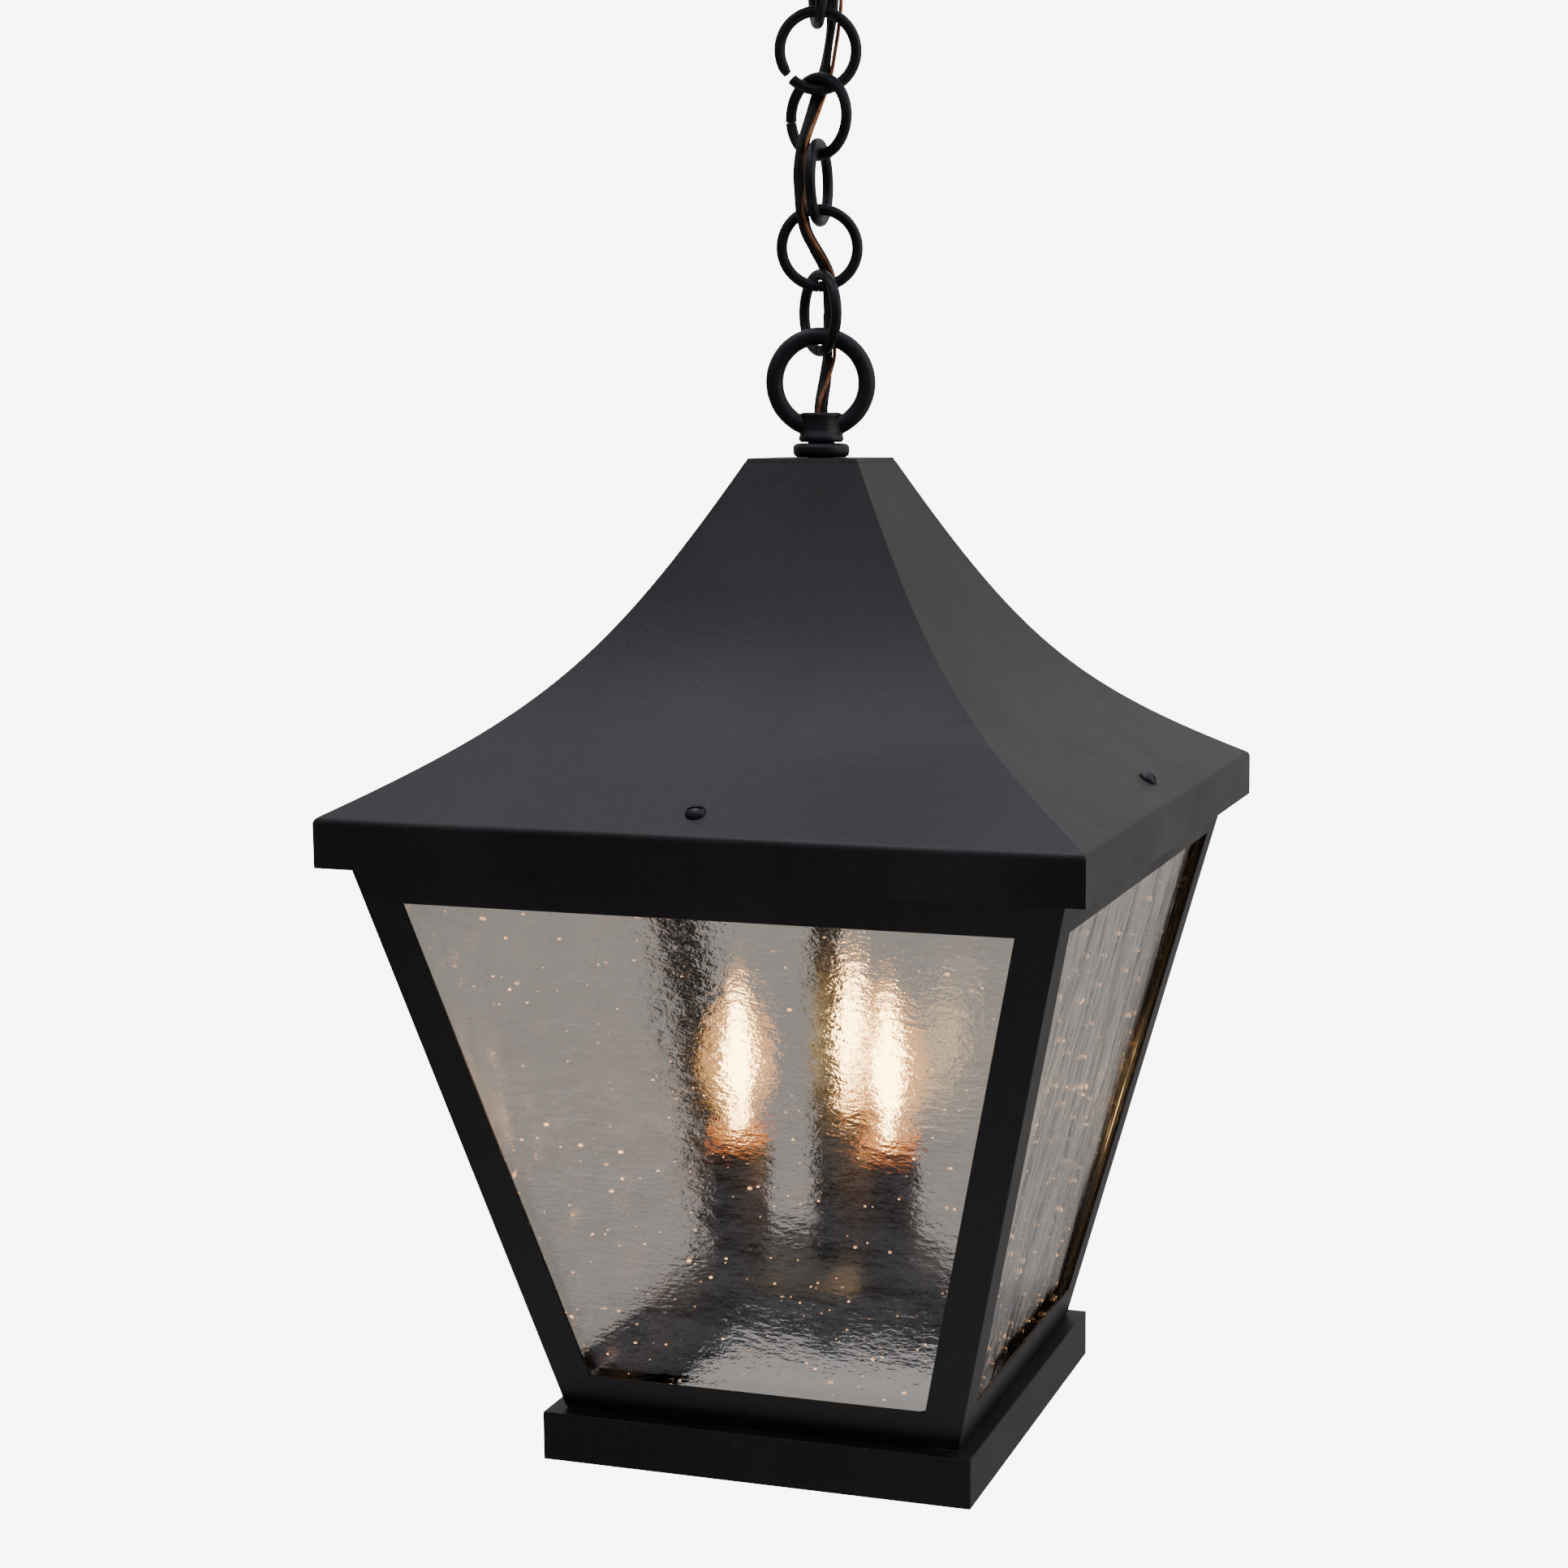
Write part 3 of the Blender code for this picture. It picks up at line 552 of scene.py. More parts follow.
def chain_link(name, turn, centre, butt_angle, butt_gap, taper):
    """A ring of wire with its two cut ends at the butt angle, seen in the link's own plane."""
    stand = Matrix.Rotation(math.radians(turn), 4, "Z") @ Matrix.Rotation(math.radians(90.0), 4, "X")
    half_gap = butt_gap / 2 / link_ring
    start = math.radians(butt_angle) + half_gap
    sweep_angle = math.tau - 2 * half_gap
    steps = 88
    rings = []
    for k in range(-2, steps + 3):
        share = min(max(k / steps, 0.0), 1.0)
        angle = start + sweep_angle * share
        past_end = max(-k, k - steps, 0)
        size = end_sizes[past_end]
        if taper and share > taper_from:
            size *= 1.0 - (share - taper_from) * taper_rate
        reach = end_steps[past_end] * end_round / link_ring
        angle += reach if k > steps else -reach
        out = Vector((math.cos(angle), math.sin(angle), 0.0))
        ring = []
        for x, y in circle(link_wire / 2 * size, 20):
            ring.append(stand @ (out * (link_ring + x) + Vector((0, 0, y))) + Vector((0, 0, centre)))
        rings.append(ring)
    return make_piece(name, mesh_from(name, lambda edit: loft(edit, rings)), chain_black, 50.0)


for k in range(6):
    wire_link = chain_link(
        "wire_link_" + str(k + 1), link_turns[k], link_centres[k], butt_angles[k],
        butt_gaps[k] + 2 * end_round, k == 1
    )
    ride_as(wire_link, "link_" + str(k + 1), "black_iron", "chain_link_" + str(k + 1))


# Stem, cap plate and nuts: a hollow threaded tube hangs from the loop through the square cap plate, and
# carries the lights.

stem_black = black_lacquer("stem_black", rough=0.4)
stem_section = [(5.5, 13.9), (5.5, -374.0), (4.0, -374.0), (4.0, 13.9)]
ride_as(turned("stem", stem_section, stem_black, 40, (0, 0, roof_top)), "lantern", "black_iron", "stem_tube")


def soften(obj, width, segments=3, angle=30.0):
    edge = obj.modifiers.new("soft_edge", "BEVEL")
    edge.width = width * MM
    edge.segments = segments
    edge.limit_method = "ANGLE"
    edge.angle_limit = math.radians(angle)
    edge.harden_normals = True
    return obj


sheet_black = black_lacquer("sheet_black", (0.0145, 0.0138, 0.015), (0.03, 0.029, 0.032), 0.4, 0.8)
stem_hole = 5.8
cap_under = -1.75
cap_outline = (
    (23.5, 0.0), (24.35, cap_under), (22.4, cap_under), (22.4, -4.0), (21.4, -4.0), (21.4, cap_under),
)


def build_cap(edit):
    """A square plate with a lip turned down inside the roof, and a round hole for the stem."""
    rings = []
    for half, z in cap_outline:
        ring = []
        for side in range(4):
            corner = Matrix.Rotation(math.radians(90.0 * side), 3, "Z")
            for k in range(8):
                ring.append(corner @ Vector((half, -half + 2 * half * k / 8, z + roof_top)))
        rings.append(ring)
    turns = [math.tau * k / 32 - math.pi / 4 for k in range(32)]
    for z in (cap_under, 0.0):
        spots = [(stem_hole * math.cos(a), stem_hole * math.sin(a)) for a in turns]
        rings.append([Vector((x, y, z + roof_top)) for x, y in spots])
    loft(edit, rings, True)


cap_piece = soften(make_piece("cap_plate", mesh_from("cap_plate", build_cap), sheet_black), 0.2, 2, 50.0)
ride_as(cap_piece, "lantern", "black_iron", "roof_top_plate")


# Roof: four sheets rolled to a flare, each folded down into an eave band and mitred at the hips. The
# sheet is 1.2 mm and not quite flat. One slotted screw holds each side.

sheet_thick = 1.2
sheet_sag = 0.42
eave_half = 152.5
eave_bend = -135.8
eave_foot = -155.24
roof_curve = ((23.5, 0.0), (67.8, -80.0), (87.2, -100.3), (eave_half, eave_bend))
flare_start = 0.0071
flare_share = 0.9834
flare_steps = 44
bend_radius = 3.2
bend_angle = 61.3
bend_steps = 8
side_words = ("front", "right", "back", "left")


def on_curve(points, t):
    a, b, c, d = (Vector(p) for p in points)
    s = 1.0 - t
    return a * s**3 + b * (3 * s * s * t) + c * (3 * s * t * t) + d * t**3


def roof_line():
    """The sheet's outer face from the cap plate down: the flare, the bend at the eave and the band."""
    out = []
    for k in range(flare_steps + 1):
        out.append(on_curve(roof_curve, flare_start + flare_share * k / flare_steps))
    drop = bend_radius * math.tan(math.radians(bend_angle) * 0.5)
    centre = Vector((eave_half - bend_radius, eave_bend - drop))
    for k in range(1, bend_steps + 1):
        angle = math.radians(bend_angle * (1.0 - k / bend_steps))
        spot = centre + Vector((math.cos(angle), math.sin(angle))) * bend_radius
        if spot.y < out[-1].y - 0.1:
            out.append(spot)
    out += [Vector((eave_half, -139.5)), Vector((eave_half, -146.0)), Vector((eave_half, -151.0))]
    out += [Vector((eave_half, eave_foot + 0.5)), Vector((eave_half - 0.35, eave_foot))]
    return out


def roof_sheet(name, side):
    """The hips keep the true section, and the sheet sags between them by half a millimetre or less."""
    line = roof_line()[:-1]
    under = []
    for i, spot in enumerate(line):
        ahead = line[min(i + 1, len(line) - 1)] - line[max(i - 1, 0)]
        ahead.normalize()
        under.append(spot + Vector((ahead.y, -ahead.x)) * sheet_thick)
    columns = 48
    turn = Matrix.Rotation(math.radians(90.0 * side), 3, "Z")
    rings = []
    for column in range(columns + 1):
        share = -1.0 + 2.0 * column / columns
        ring = []
        for i, spot in enumerate(line + list(reversed(under))):
            edge = 1.0 - abs(share) ** 6
            slack = min(1.0, max(0.0, (-spot.y) / 20.0)) * (1.0 if spot.y > -139.0 else 0.25) * edge
            wave = noise.noise(Vector((share * spot.x * 0.013 + side * 7.0, spot.y * 0.02, side))) - 0.45
            sink = sheet_sag * slack * min(wave, 0.0)
            out = spot.x + sink * 0.5
            ring.append(turn @ Vector((share * (spot.x - 0.04), -out, spot.y + sink + roof_top)))
        rings.append(ring)
    piece = make_piece(name, mesh_from(name, lambda edit: loft(edit, rings)), sheet_black, 40.0)
    return soften(piece, 0.25, 2, 60.0)


for side, word in enumerate(side_words):
    ride_as(roof_sheet("roof_sheet_" + word, side), "lantern", "black_iron", "roof_panel_" + word)

screw_black = black_lacquer("screw_black", (0.009, 0.0095, 0.012), (0.02, 0.022, 0.027), 0.3, 0.8)
head_section = [
    (0.0, 2.6), (1.0, 2.52), (1.9, 2.3), (2.7, 1.9), (3.4, 1.3), (3.85, 0.75), (4.0, 0.3), (1.9, 0.25),
    (1.9, -6.0), (1.4, -6.6), (0.0, -6.6),
]
screw_out = 139.5
screw_drop = 128.7
screw_slope = 28.7
slot_half = 0.55


def build_slot(edit):
    """The block that cuts the slot in a screw's head."""
    outline = ((-6, -slot_half), (6, -slot_half), (6, slot_half), (-6, slot_half))
    loft(edit, [[(x, y, z) for x, y in outline] for z in (1.35, 4.0)])


slot_turns = (12.0, 70.0, -35.0, 100.0)
for side, word in enumerate(side_words):
    place = Matrix.Rotation(math.radians(90.0 * side), 4, "Z")
    place = place @ Matrix.Translation((0.0, -screw_out * MM, (roof_top - screw_drop) * MM))
    place = place @ Matrix.Rotation(math.radians(screw_slope), 4, "X")
    screw_piece = turned("slotted_screw_" + word, head_section, screw_black, 40, ring=False)
    slot_block = make_piece("slot_block", mesh_from("slot_block", build_slot), screw_black)
    slot_block.rotation_euler.z = math.radians(slot_turns[side])
    bpy.context.view_layer.update()
    saw = screw_piece.modifiers.new("saw", "BOOLEAN")
    saw.solver = "EXACT"
    saw.object = slot_block
    graph = bpy.context.evaluated_depsgraph_get()
    sawn = bpy.data.meshes.new_from_object(screw_piece.evaluated_get(graph))
    bpy.data.objects.remove(slot_block, do_unlink=True)
    bpy.data.objects.remove(screw_piece, do_unlink=True)
    sawn.transform(place)
    screw = make_piece("slotted_screw_" + word, sawn, screw_black)
    ride_as(screw, "lantern", "black_iron", "roof_screw_" + word)


# Straps: two flat bars cross under the roof round the stem. Their ends turn up to the roof screws.

strap_black = black_lacquer("strap_black", rough=0.5)
for strap_node in ("roof_strap_x", "roof_strap_y"):
    refinish(strap_node, strap_black)


# Cage: four posts folded from strip, with rails let in flush between them top and bottom, welded and
# filed. A thin fillet of weld closes each joint from behind.

cage_top_half = 142.62
cage_taper = 0.2501
strip = 16.5
strip_thick = 1.5
post_top = -147.5
cage_foot = -387.45
frame_black = black_lacquer("frame_black", (0.0105, 0.0075, 0.0066), (0.0215, 0.0175, 0.016), 0.42, 0.8)


def cage_half(z):
    return cage_top_half - cage_taper * (eave_foot - z)


corner_words = ("front_right", "back_right", "back_left", "front_left")
for corner, word in enumerate(corner_words):
    def build_post(edit, corner=corner):
        turn = Matrix.Rotation(math.radians(90.0 * corner), 3, "Z")
        rings = []
        for z in (post_top, cage_foot):
            half = cage_half(z)
            outline = [(0, 0), (-strip, 0), (-strip, strip_thick)]
            outline += [(-strip_thick, strip_thick), (-strip_thick, strip), (0, strip)]
            rings.append([turn @ Vector((half + x, -half + y, z + roof_top)) for x, y in outline])
        loft(edit, rings)

    post = soften(make_piece("post_" + word, mesh_from("post", build_post), frame_black), 0.45, 3)
    ride_as(post, "lantern", "black_iron", "corner_post_" + word)


let_in = 2.0
let_under = 0.03
top_rail_high = -149.6
top_rail_low = -169.3
foot_rail_high = -371.7


def rail(name, side, high, low, flange_at_top, reach):
    """An angle strip. Its face slopes with the cage, a hair under the posts' faces, and its flange is level."""
    def build(edit):
        turn = Matrix.Rotation(math.radians(90.0 * side), 3, "Z")
        rings = []
        if flange_at_top:
            section = [(reach, high), (0, high), (0, low), (strip_thick, low)]
            section += [(strip_thick, high - strip_thick), (reach, high - strip_thick)]
        else:
            section = [(0, high), (0, low), (reach, low)]
            section += [(reach, low + strip_thick), (strip_thick, low + strip_thick), (strip_thick, high)]
        for end in (-1, 1):
            ring = []
            for inward, z in section:
                half = cage_half(z)
                spot = Vector((end * (half - strip + let_in), -(half - inward - let_under), z + roof_top))
                ring.append(turn @ spot)
            rings.append(ring)
        loft(edit, rings)
    return soften(make_piece(name, mesh_from(name, build), frame_black), 0.3, 2)


def weld_strip(name, side, end, high, low):
    """A flat bead behind the joint of rail and post."""
    def build(edit):
        turn = Matrix.Rotation(math.radians(90.0 * side), 3, "Z")
        rings = []
        for z in (high, low):
            half = cage_half(z)
            middle = end * (half - strip)
            ring = [(middle - 2.2, 1.6), (middle + 2.2, 1.6), (middle + 1.2, 2.5), (middle - 1.2, 2.5)]
            rings.append([turn @ Vector((x, -(half - y), z + roof_top)) for x, y in ring])
        loft(edit, rings)
    return make_piece(name, mesh_from(name, build), frame_black)


for side, word in enumerate(side_words):
    top = rail("rail_top_" + word, side, top_rail_high, top_rail_low, True, 14.0)
    ride_as(top, "lantern", "black_iron", "top_rail_" + word)
    foot = rail("rail_foot_" + word, side, foot_rail_high, cage_foot, False, 12.0)
    ride_as(foot, "lantern", "black_iron", "bottom_rail_" + word)
    for end in (-1, 1):
        mark = word + ("_a" if end < 0 else "_b")
        top_weld = weld_strip("weld_top_" + mark, side, end, -152.0, top_rail_low)
        ride_as(top_weld, "lantern", "black_iron")
        foot_weld = weld_strip("weld_foot_" + mark, side, end, foot_rail_high, -385.6)
        ride_as(foot_weld, "lantern", "black_iron")


# Panes: drawn glass three millimetres thick, faintly smoked, full of seeds and slow ripples from the
# rollers. The seeds near the lamps carry a painted orange glint. Each is bedded behind the frame.

pane_top = -162.0
pane_foot = -379.0
pane_back = 3.6 * math.sqrt(1.0 + cage_taper**2)
pane_depth = 3.0 * 1.031
pane_edge = 10.5
pane_rows = 24
pane_columns = 20


def drawn_glass(name, tint, wave_across, wave_along, ripple_depth):
    """The rollers leave slow waves and short ripples that run one way, and fine crinkles between them."""
    made, shader, place = new_finish(name)
    slow = place.stretched(*wave_across).noise(50.0, 2.0)
    ripple = place.stretched(*wave_along).noise(480.0, 2.0, 0.55, 0.3)
    crinkle = place.noise(900.0, 2.0, 0.6)
    haze = place.noise(25.0, 4.0, 0.6).between(0.4, 0.8)
    wear(
        shader,
        Base_Color=(haze * 0.5).colours(tint, tuple(c * 0.93 for c in tint)),
        Roughness=0.02 + 0.04 * haze,
        Normal=(slow + ripple_depth * ripple + 0.055 * crinkle).bump(1.0, 0.0011),
    )
    shader.inputs["Transmission Weight"].default_value = 1.0
    shader.inputs["IOR"].default_value = 1.46
    return made


glass_level = drawn_glass(
    "drawn_glass_level", (0.87, 0.84, 0.81), (0.6, 0.6, 1.0), (0.42, 0.42, 1.0), ripple_depth=0.2
)
glass_upright = drawn_glass(
    "drawn_glass_upright", (0.87, 0.825, 0.795), (1.0, 1.0, 0.4), (1.0, 1.0, 0.07), ripple_depth=0.11
)


def pane(name, side, finish):
    def build(edit):
        turn = Matrix.Rotation(math.radians(90.0 * side), 3, "Z")
        rings = []
        for row in range(pane_rows + 1):
            z = pane_top + (pane_foot - pane_top) * row / pane_rows
            half = cage_half(z)
            wide = half - pane_edge
            steps = [2 * wide * k / pane_columns for k in range(pane_columns + 1)]
            outside = -(half - pane_back)
            inside = -(half - pane_back - pane_depth)
            ring = [turn @ Vector((step - wide, outside, z + roof_top)) for step in steps]
            ring += [turn @ Vector((wide - step, inside, z + roof_top)) for step in steps]
            rings.append(ring)
        loft(edit, rings)
    return make_piece(name, mesh_from(name, build), finish)


seed_count = 340
smallest_seed = 0.24
largest_seed = 0.8
pane_chance = random.Random(7)
lamp_middle = (0.0, 0.0, (roof_top - 250.0) * MM)

# The seeds' emission is a painted glint: an orange glow that fades with distance from the lamps, standing in
# for lamplight caught in the air seeds.
seed_finish_with_painted_glint, seed_shader, seed_place = new_finish("seed_painted_lamp_glint")
reach_ends = {0: seed_place, 1: lamp_middle}
seed_reach = seed_place.node("ShaderNodeVectorMath", {"operation": "DISTANCE"}, reach_ends, 1)
seed_spread = seed_place.noise(170.0, 1.0).between(0.35, 0.65)
painted_glint_falloff = 1 - seed_reach.between(0.12, 0.24)
painted_seed_glint = (seed_spread * painted_glint_falloff).colours((0.05, 0.04, 0.035), (1.0, 0.5, 0.2))
wear(
    seed_shader,
    Base_Color=seed_spread.colours((0.75, 0.72, 0.7), (0.95, 0.9, 0.85)),
    Roughness=0.05 + 0.1 * seed_spread,
    Emission_Color=painted_seed_glint,
    Emission_Strength=1.5,
)
seed_shader.inputs["Transmission Weight"].default_value = 1.0
seed_shader.inputs["IOR"].default_value = 1.46


def pane_seeds(name, side):
    """Air seeds caught in the glass, a little longer the way it was drawn."""
    def build(edit):
        turn = Matrix.Rotation(math.radians(90.0 * side), 3, "Z")
        for _ in range(seed_count):
            z = pane_chance.uniform(pane_foot + 2.0, pane_top - 2.0)
            half = cage_half(z)
            x = pane_chance.uniform(-1.0, 1.0) * (half - 12.0)
            depth = pane_back + pane_chance.uniform(0.9, 2.2)
            size = smallest_seed + (largest_seed - smallest_seed) * pane_chance.random() ** 3
            long_way = pane_chance.uniform(1.0, 1.9)
            made = bmesh.ops.create_icosphere(edit, subdivisions=1, radius=size)["verts"]
            stretch = (long_way, 1.0, 1.0) if side % 2 == 0 else (1.0, 1.0, long_way)
            bmesh.ops.scale(edit, vec=stretch, verts=made)
            bmesh.ops.translate(edit, vec=(x, -(half - depth), z + roof_top), verts=made)
        bmesh.ops.rotate(edit, verts=edit.verts, matrix=turn)
    return make_piece(name, mesh_from(name, build), seed_finish_with_painted_glint, 180.0)


for side, word in enumerate(side_words):
    finish = glass_level if side % 2 == 0 else glass_upright
    ride_as(pane("pane_" + word, side, finish), "lantern", "pane_glass", "glass_pane_" + word)
    ride_as(pane_seeds("pane_seeds_" + word, side), "lantern", "pane_glass")


# Base: one strip of sheet folded into a square channel, with a level ledge that carries the cage and a
# flange below round the open bottom.

base_half = 91.71
base_top = -387.75
base_foot = -408.16
base_hole = 69.5
base_black = black_lacquer("base_black", (0.0105, 0.0085, 0.008), (0.023, 0.0205, 0.0198), 0.44, 0.8)


def build_base(edit):
    section = [(base_hole, base_top), (base_half, base_top), (base_half, base_foot), (base_hole, base_foot)]
    section += [(base_hole, base_foot + sheet_thick), (base_half - sheet_thick, base_foot + sheet_thick)]
    section += [(base_half - sheet_thick, base_top - sheet_thick), (base_hole, base_top - sheet_thick)]
    rings = []
    for s, t in ((1, 1), (-1, 1), (-1, -1), (1, -1)):
        rings.append([Vector((s * r, t * r, z + roof_top)) for r, z in section])
    loft(edit, rings, True)


base_piece = make_piece("base_channel", mesh_from("base_channel", build_base), base_black)
ride_as(soften(base_piece, 1.15, 5, 40.0), "lantern", "black_iron", "base_pan")


# Lights: a spun dish and its cover hang on the stem, with a turned nut below. Three brown resin candle
# sleeves stand on the cover round their holders, with a painted orange glow on their top edges for the lamps
# shining through.

dish_black = black_lacquer("dish_black", rough=0.45)
on_stem = (0, 0, roof_top)
dish_section = [
    (50.0, -343.0), (50.0, -345.4), (49.4, -347.6), (48.1, -349.3), (46.0, -350.4), (44.6, -350.7),
    (5.8, -350.7), (5.8, -349.6), (44.2, -349.6), (46.6, -348.9), (48.3, -347.3), (48.9, -345.4),
    (48.9, -343.0),
]
dish = turned("spun_dish", dish_section, dish_black, 80, on_stem)
ride_as(dish, "lantern", "black_iron", "cluster_dish")
cover_section = [(5.8, -341.7), (49.5, -341.7), (49.9, -341.9), (50.0, -342.7), (5.8, -342.7)]
cover = turned("dish_cover", cover_section, dish_black, 80, on_stem)
ride_as(cover, "lantern", "black_iron", "cluster_cover")
nut_section = [
    (0.0, -351.0), (7.4, -351.0), (8.1, -351.4), (8.3, -352.2), (8.3, -379.4), (8.0, -380.8),
    (7.0, -382.3), (5.4, -383.1), (3.6, -383.4), (0.0, -383.4),
]
nut = turned("turned_nut", nut_section, dish_black, 48, on_stem, ring=False)
ride_as(nut, "lantern", "black_iron", "stem_finial")

sleeve_top = -282.0
painted_glow_depth = 7.0
resin, resin_shader, resin_place = new_finish("brown_resin")
resin_flow = resin_place.stretched(1, 1, 0.25).noise(300.0, 5.0, 0.6)
resin_mottle = resin_place.noise(70.0, 4.0).between(0.4, 0.75)
resin_height = resin_place.node("ShaderNodeSeparateXYZ", None, {0: resin_place}, 2)
# Painted glow: the sleeve's top few millimetres get an orange emission that stands in for lamplight shining
# through the resin.
painted_glow_low = (roof_top + sleeve_top - painted_glow_depth) * MM
painted_top_glow = (resin_height + 0.002 * resin_flow).between(painted_glow_low, (roof_top + sleeve_top) * MM)
wear(
    resin_shader,
    Base_Color=resin_mottle.colours((0.018, 0.009, 0.006), (0.036, 0.017, 0.009)),
    Roughness=0.4 + 0.2 * resin_flow,
    Emission_Color=painted_top_glow.colours((0.0, 0.0, 0.0), (1.0, 0.27, 0.05)),
    Emission_Strength=0.9,
    Normal=resin_flow.bump(0.3, 0.0003),
)

holder_cream, holder_shader, holder_place = new_finish("holder_moulding")
holder_mark = holder_place.noise(300.0, 4.0)
wear(
    holder_shader,
    Base_Color=holder_mark.colours((0.55, 0.5, 0.42), (0.66, 0.62, 0.54)),
    Roughness=0.35 + 0.2 * holder_mark,
    Normal=holder_mark.bump(0.1, 0.0002),
)

screw_brass, brass_shader, brass_place = new_finish("cap_brass")
brass_tarnish = brass_place.noise(250.0, 5.0).between(0.35, 0.7)
wear(
    brass_shader,
    Base_Color=brass_tarnish.colours((0.72, 0.52, 0.24), (0.45, 0.30, 0.14)),
    Metallic=1.0,
    Roughness=0.25 + 0.2 * brass_tarnish,
    Normal=brass_tarnish.bump(0.1, 0.0002),
)

# Bulbs: clear torpedo bulbs in candelabra holders. A glowing core shaped like a flame stands in each for
# the filament, and the glass round it glows faintly.

bulb_glass, bulb_shader, bulb_place = new_finish("bulb_envelope")
bulb_haze = bulb_place.noise(120.0, 3.0).between(0.4, 0.8)
wear(
    bulb_shader,
    Base_Color=bulb_haze.colours((0.10, 0.05, 0.02), (0.06, 0.03, 0.012)),
    Roughness=0.02 + 0.05 * bulb_haze,
    Alpha=0.10 + 0.08 * bulb_haze,
    Emission_Color=bulb_haze.colours((1.0, 0.52, 0.15), (1.0, 0.64, 0.26)),
    Emission_Strength=1.7,
)
glow, glow_shader, glow_place = new_finish("filament_glow")
glow_flicker = glow_place.noise(70.0, 2.0)
wear(
    glow_shader,
    Base_Color=(0.02, 0.01, 0.005),
    Emission_Color=glow_flicker.colours((1.0, 0.6, 0.2), (1.0, 0.72, 0.32)),
    Emission_Strength=120.0,
)

candle_circle = 38.0
candle_turns = (93.0, 213.0, 333.0)
sleeve_section = [
    (11.9, -282.05), (12.25, -282.0), (12.5, -282.4), (12.5, -341.4), (11.3, -341.4), (11.3, -282.4),
]
holder_section = [
    (0.0, -307.0), (6.5, -307.0), (6.5, -285.8), (6.9, -285.4), (10.5, -285.4), (10.9, -285.9),
    (10.9, -341.4), (0.0, -341.4),
]
thread_pitch = 2.1
cap_section = [(0.0, -286.4), (5.6, -286.4)]
for thread in range(7):
    cap_section += [(5.5, -287.4 - thread_pitch * thread), (5.95, -288.4 - thread_pitch * thread)]
cap_section += [(5.4, -302.4), (3.4, -304.6), (2.0, -305.8), (0.0, -306.0)]
envelope_thick = 0.8
envelope_outer = [
    (0.0, -206.0), (0.7, -206.9), (1.2, -208.4), (2.0, -211.0), (3.4, -215.0), (5.4, -220.0),
    (7.6, -225.0), (9.8, -230.0), (11.9, -234.6), (13.8, -239.6), (15.1, -244.2), (15.8, -248.6),
    (16.0, -253.0), (15.7, -257.2), (14.8, -261.6), (13.2, -266.4), (11.2, -270.9), (9.3, -275.0),
    (7.9, -278.4), (6.9, -281.6), (6.3, -284.4), (6.2, -286.1),
]
envelope_inner = []
for r, z in reversed(envelope_outer):
    if r > 0.9 or r == 0.0:
        under_tip = envelope_thick if r < 3 else 0.0
        envelope_inner.append((max(r - envelope_thick, 0.0), z - under_tip))
flame_section = [
    (0.0, -219.0), (0.6, -222.0), (1.5, -226.5), (2.9, -232.5), (4.4, -239.0), (5.7, -246.0),
    (6.4, -252.5), (6.1, -259.0), (4.8, -265.0), (2.9, -269.0), (1.8, -272.5), (1.6, -282.0),
    (0.0, -283.5),
]

for number, turn in zip("123", candle_turns):
    angle = math.radians(turn)
    spot = (candle_circle * math.cos(angle), candle_circle * math.sin(angle), roof_top)
    bulb = "bulb_" + number
    sleeve = turned("resin_sleeve_" + number, sleeve_section, resin, 64, spot)
    ride_as(sleeve, "lantern", "black_iron", "candle_sleeve_" + number)
    holder = turned("moulded_holder_" + number, holder_section, holder_cream, 48, spot, ring=False)
    ride_as(holder, "lantern", "holder_moulding", "lamp_holder_" + number)
    screw_cap = turned("screw_cap_" + number, cap_section, screw_brass, 40, spot, ring=False)
    ride_as(screw_cap, bulb, "brass", "bulb_cap_" + number)
    envelope_section = envelope_outer + envelope_inner
    envelope = turned("envelope_" + number, envelope_section, bulb_glass, 48, spot, 60.0, ring=False)
    ride_as(envelope, bulb, "bulb_glass", "bulb_glass_" + number)
    core = turned("glowing_core_" + number, flame_section, glow, 40, spot, 60.0, ring=False)
    ride_as(core, bulb, "bulb_glass")


# Floor and room: a round pale floor below, and a bright white room behind that falls off to a dim side in
# front, with cool light from overhead.

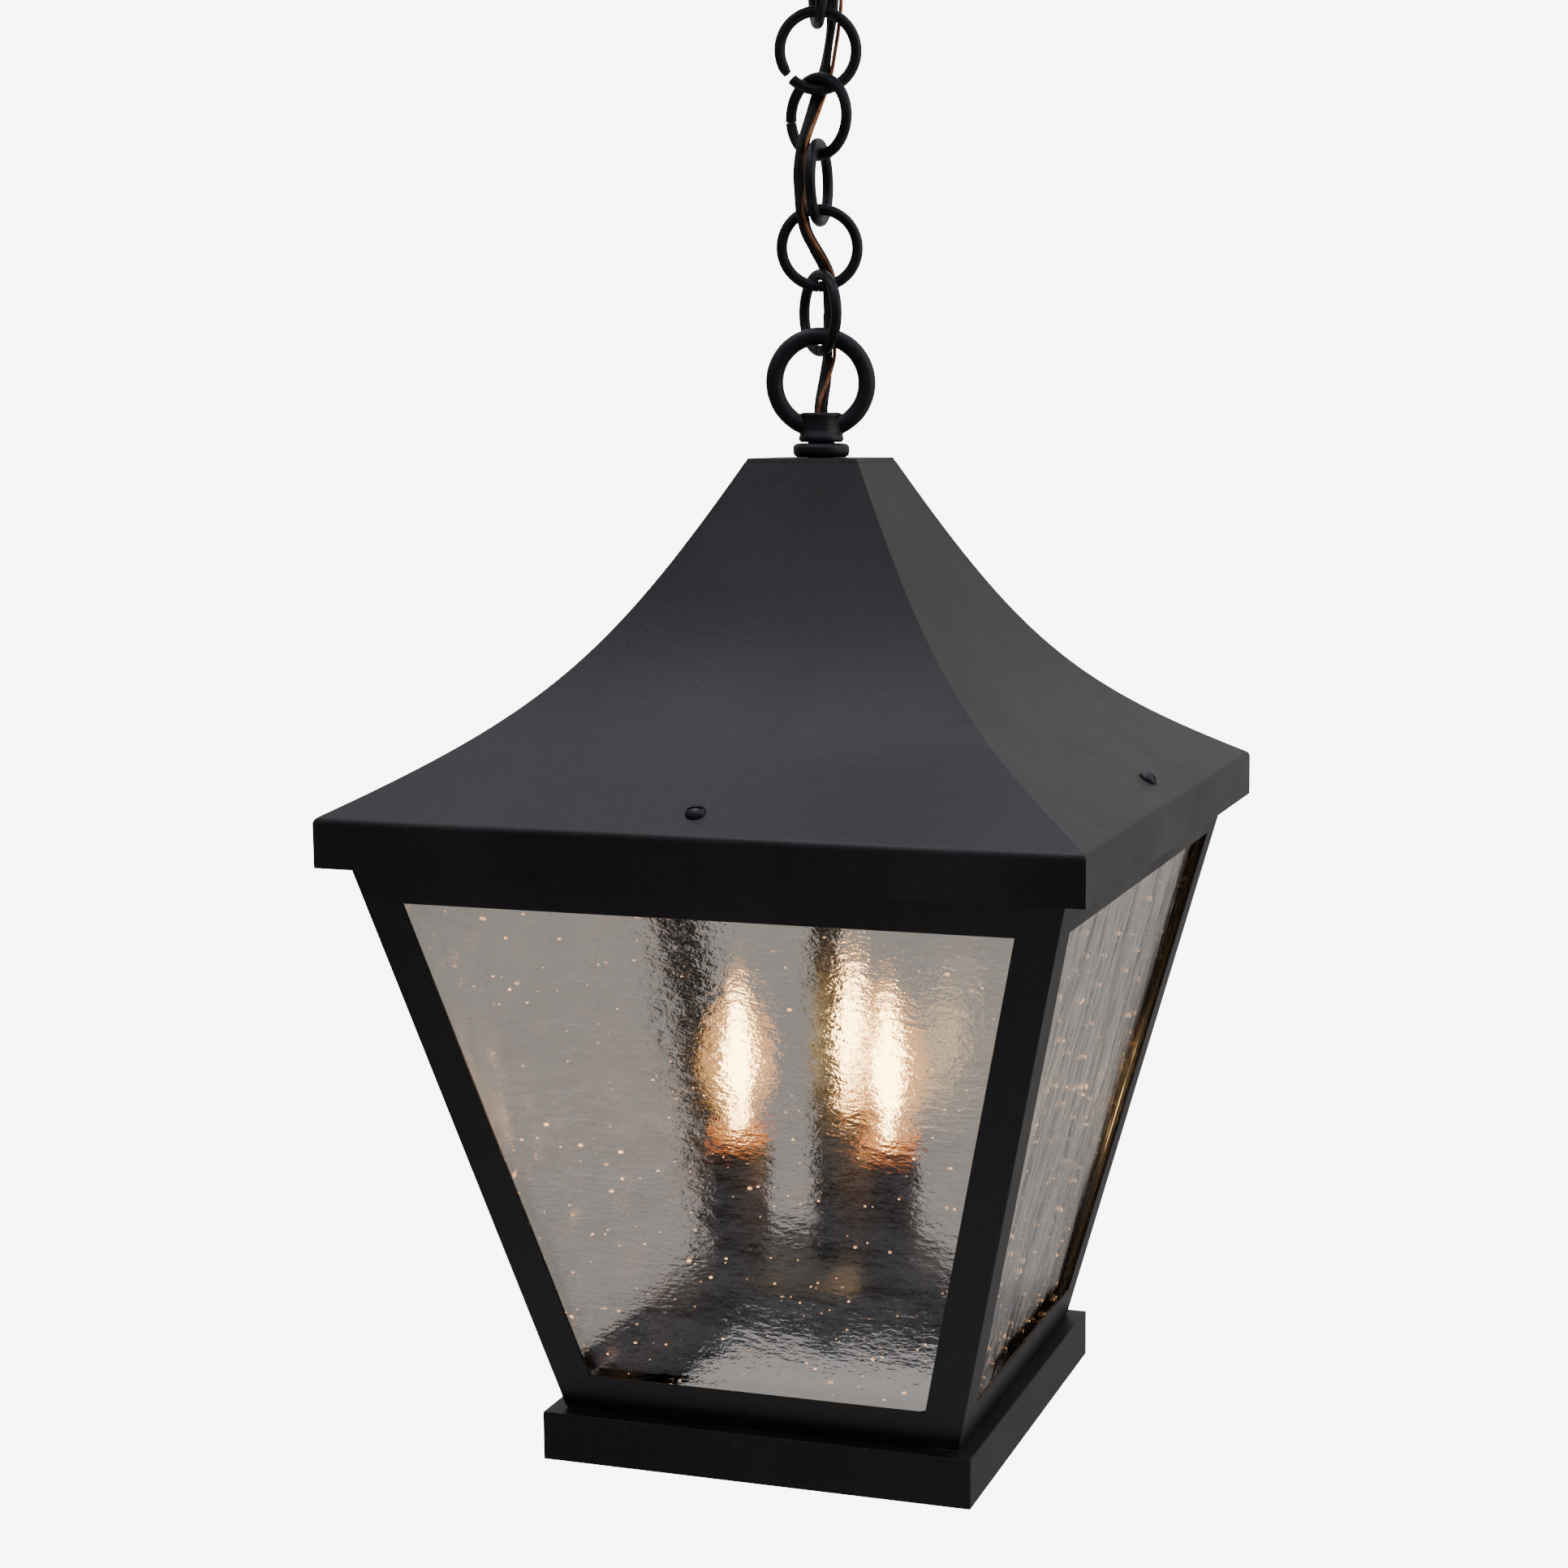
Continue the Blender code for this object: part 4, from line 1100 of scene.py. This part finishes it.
pale, pale_shader, pale_place = new_finish("pale_paint")
pale_tone = pale_place.noise(0.6, 3.0)
wear(
    pale_shader,
    Base_Color=pale_tone.colours((0.86, 0.86, 0.86), (0.88, 0.88, 0.875)),
    Roughness=0.9,
)
floor_rim = [(0.0, -1700.0), (1380.0, -1700.0), (1400.0, -1704.0), (1400.0, -1740.0), (0.0, -1740.0)]
turned("floor", floor_rim, pale, 128, ring=False)

white_behind = 8.0
dim_front = 0.10
grey_behind = 0.37
overhead = 0.62
dimmer_below = 0.24
world = bpy.data.worlds.new("studio")
world.use_nodes = True
sky = Value(world.node_tree, None)
seen_straight = sky.node("ShaderNodeLightPath")
direction = sky.node("ShaderNodeTexCoord")
rise = direction.node("ShaderNodeSeparateXYZ", None, {0: direction}, 2)
upward = rise.between(0.15, 0.95)
level = 1 - dimmer_below * (0 - rise).between(0.12, 0.35)
back_wall = {0: direction, 1: (0.4, 0.9, 0.0)}
behind = direction.node("ShaderNodeVectorMath", {"operation": "DOT_PRODUCT"}, back_wall, 1)
room = dim_front + grey_behind * behind.between(-0.45, 0.5) * level + overhead * upward
backdrop = world.node_tree.nodes["Background"]
strength = room + seen_straight * (white_behind - room)
sky.tree.links.new(strength.output, backdrop.inputs["Strength"])
tone = (upward * (1 - seen_straight)).colours((1.0, 0.975, 0.95), (0.86, 0.87, 1.0))
sky.tree.links.new(tone.output, backdrop.inputs["Color"])
bpy.context.scene.world = world


def soft_panel(name, place, aim, width, height, power, colour):
    data = bpy.data.lights.new(name, "AREA")
    data.shape = "RECTANGLE"
    data.size = width
    data.size_y = height
    data.energy = power
    data.color = colour
    panel = bpy.data.objects.new(name, data)
    panel.location = place
    panel.rotation_euler = (Vector(aim) - Vector(place)).to_track_quat("-Z", "Y").to_euler()
    bpy.context.scene.collection.objects.link(panel)


soft_panel("panel_right", (2.4, 0.3, 0.5), (0.0, 0.0, -0.5), 1.6, 2.0, 9.0, (1.0, 0.97, 0.93))
soft_panel("panel_top", (-0.3, -0.2, 2.2), (0.0, 0.0, -0.4), 1.6, 1.6, 20.0, (0.88, 0.89, 1.0))
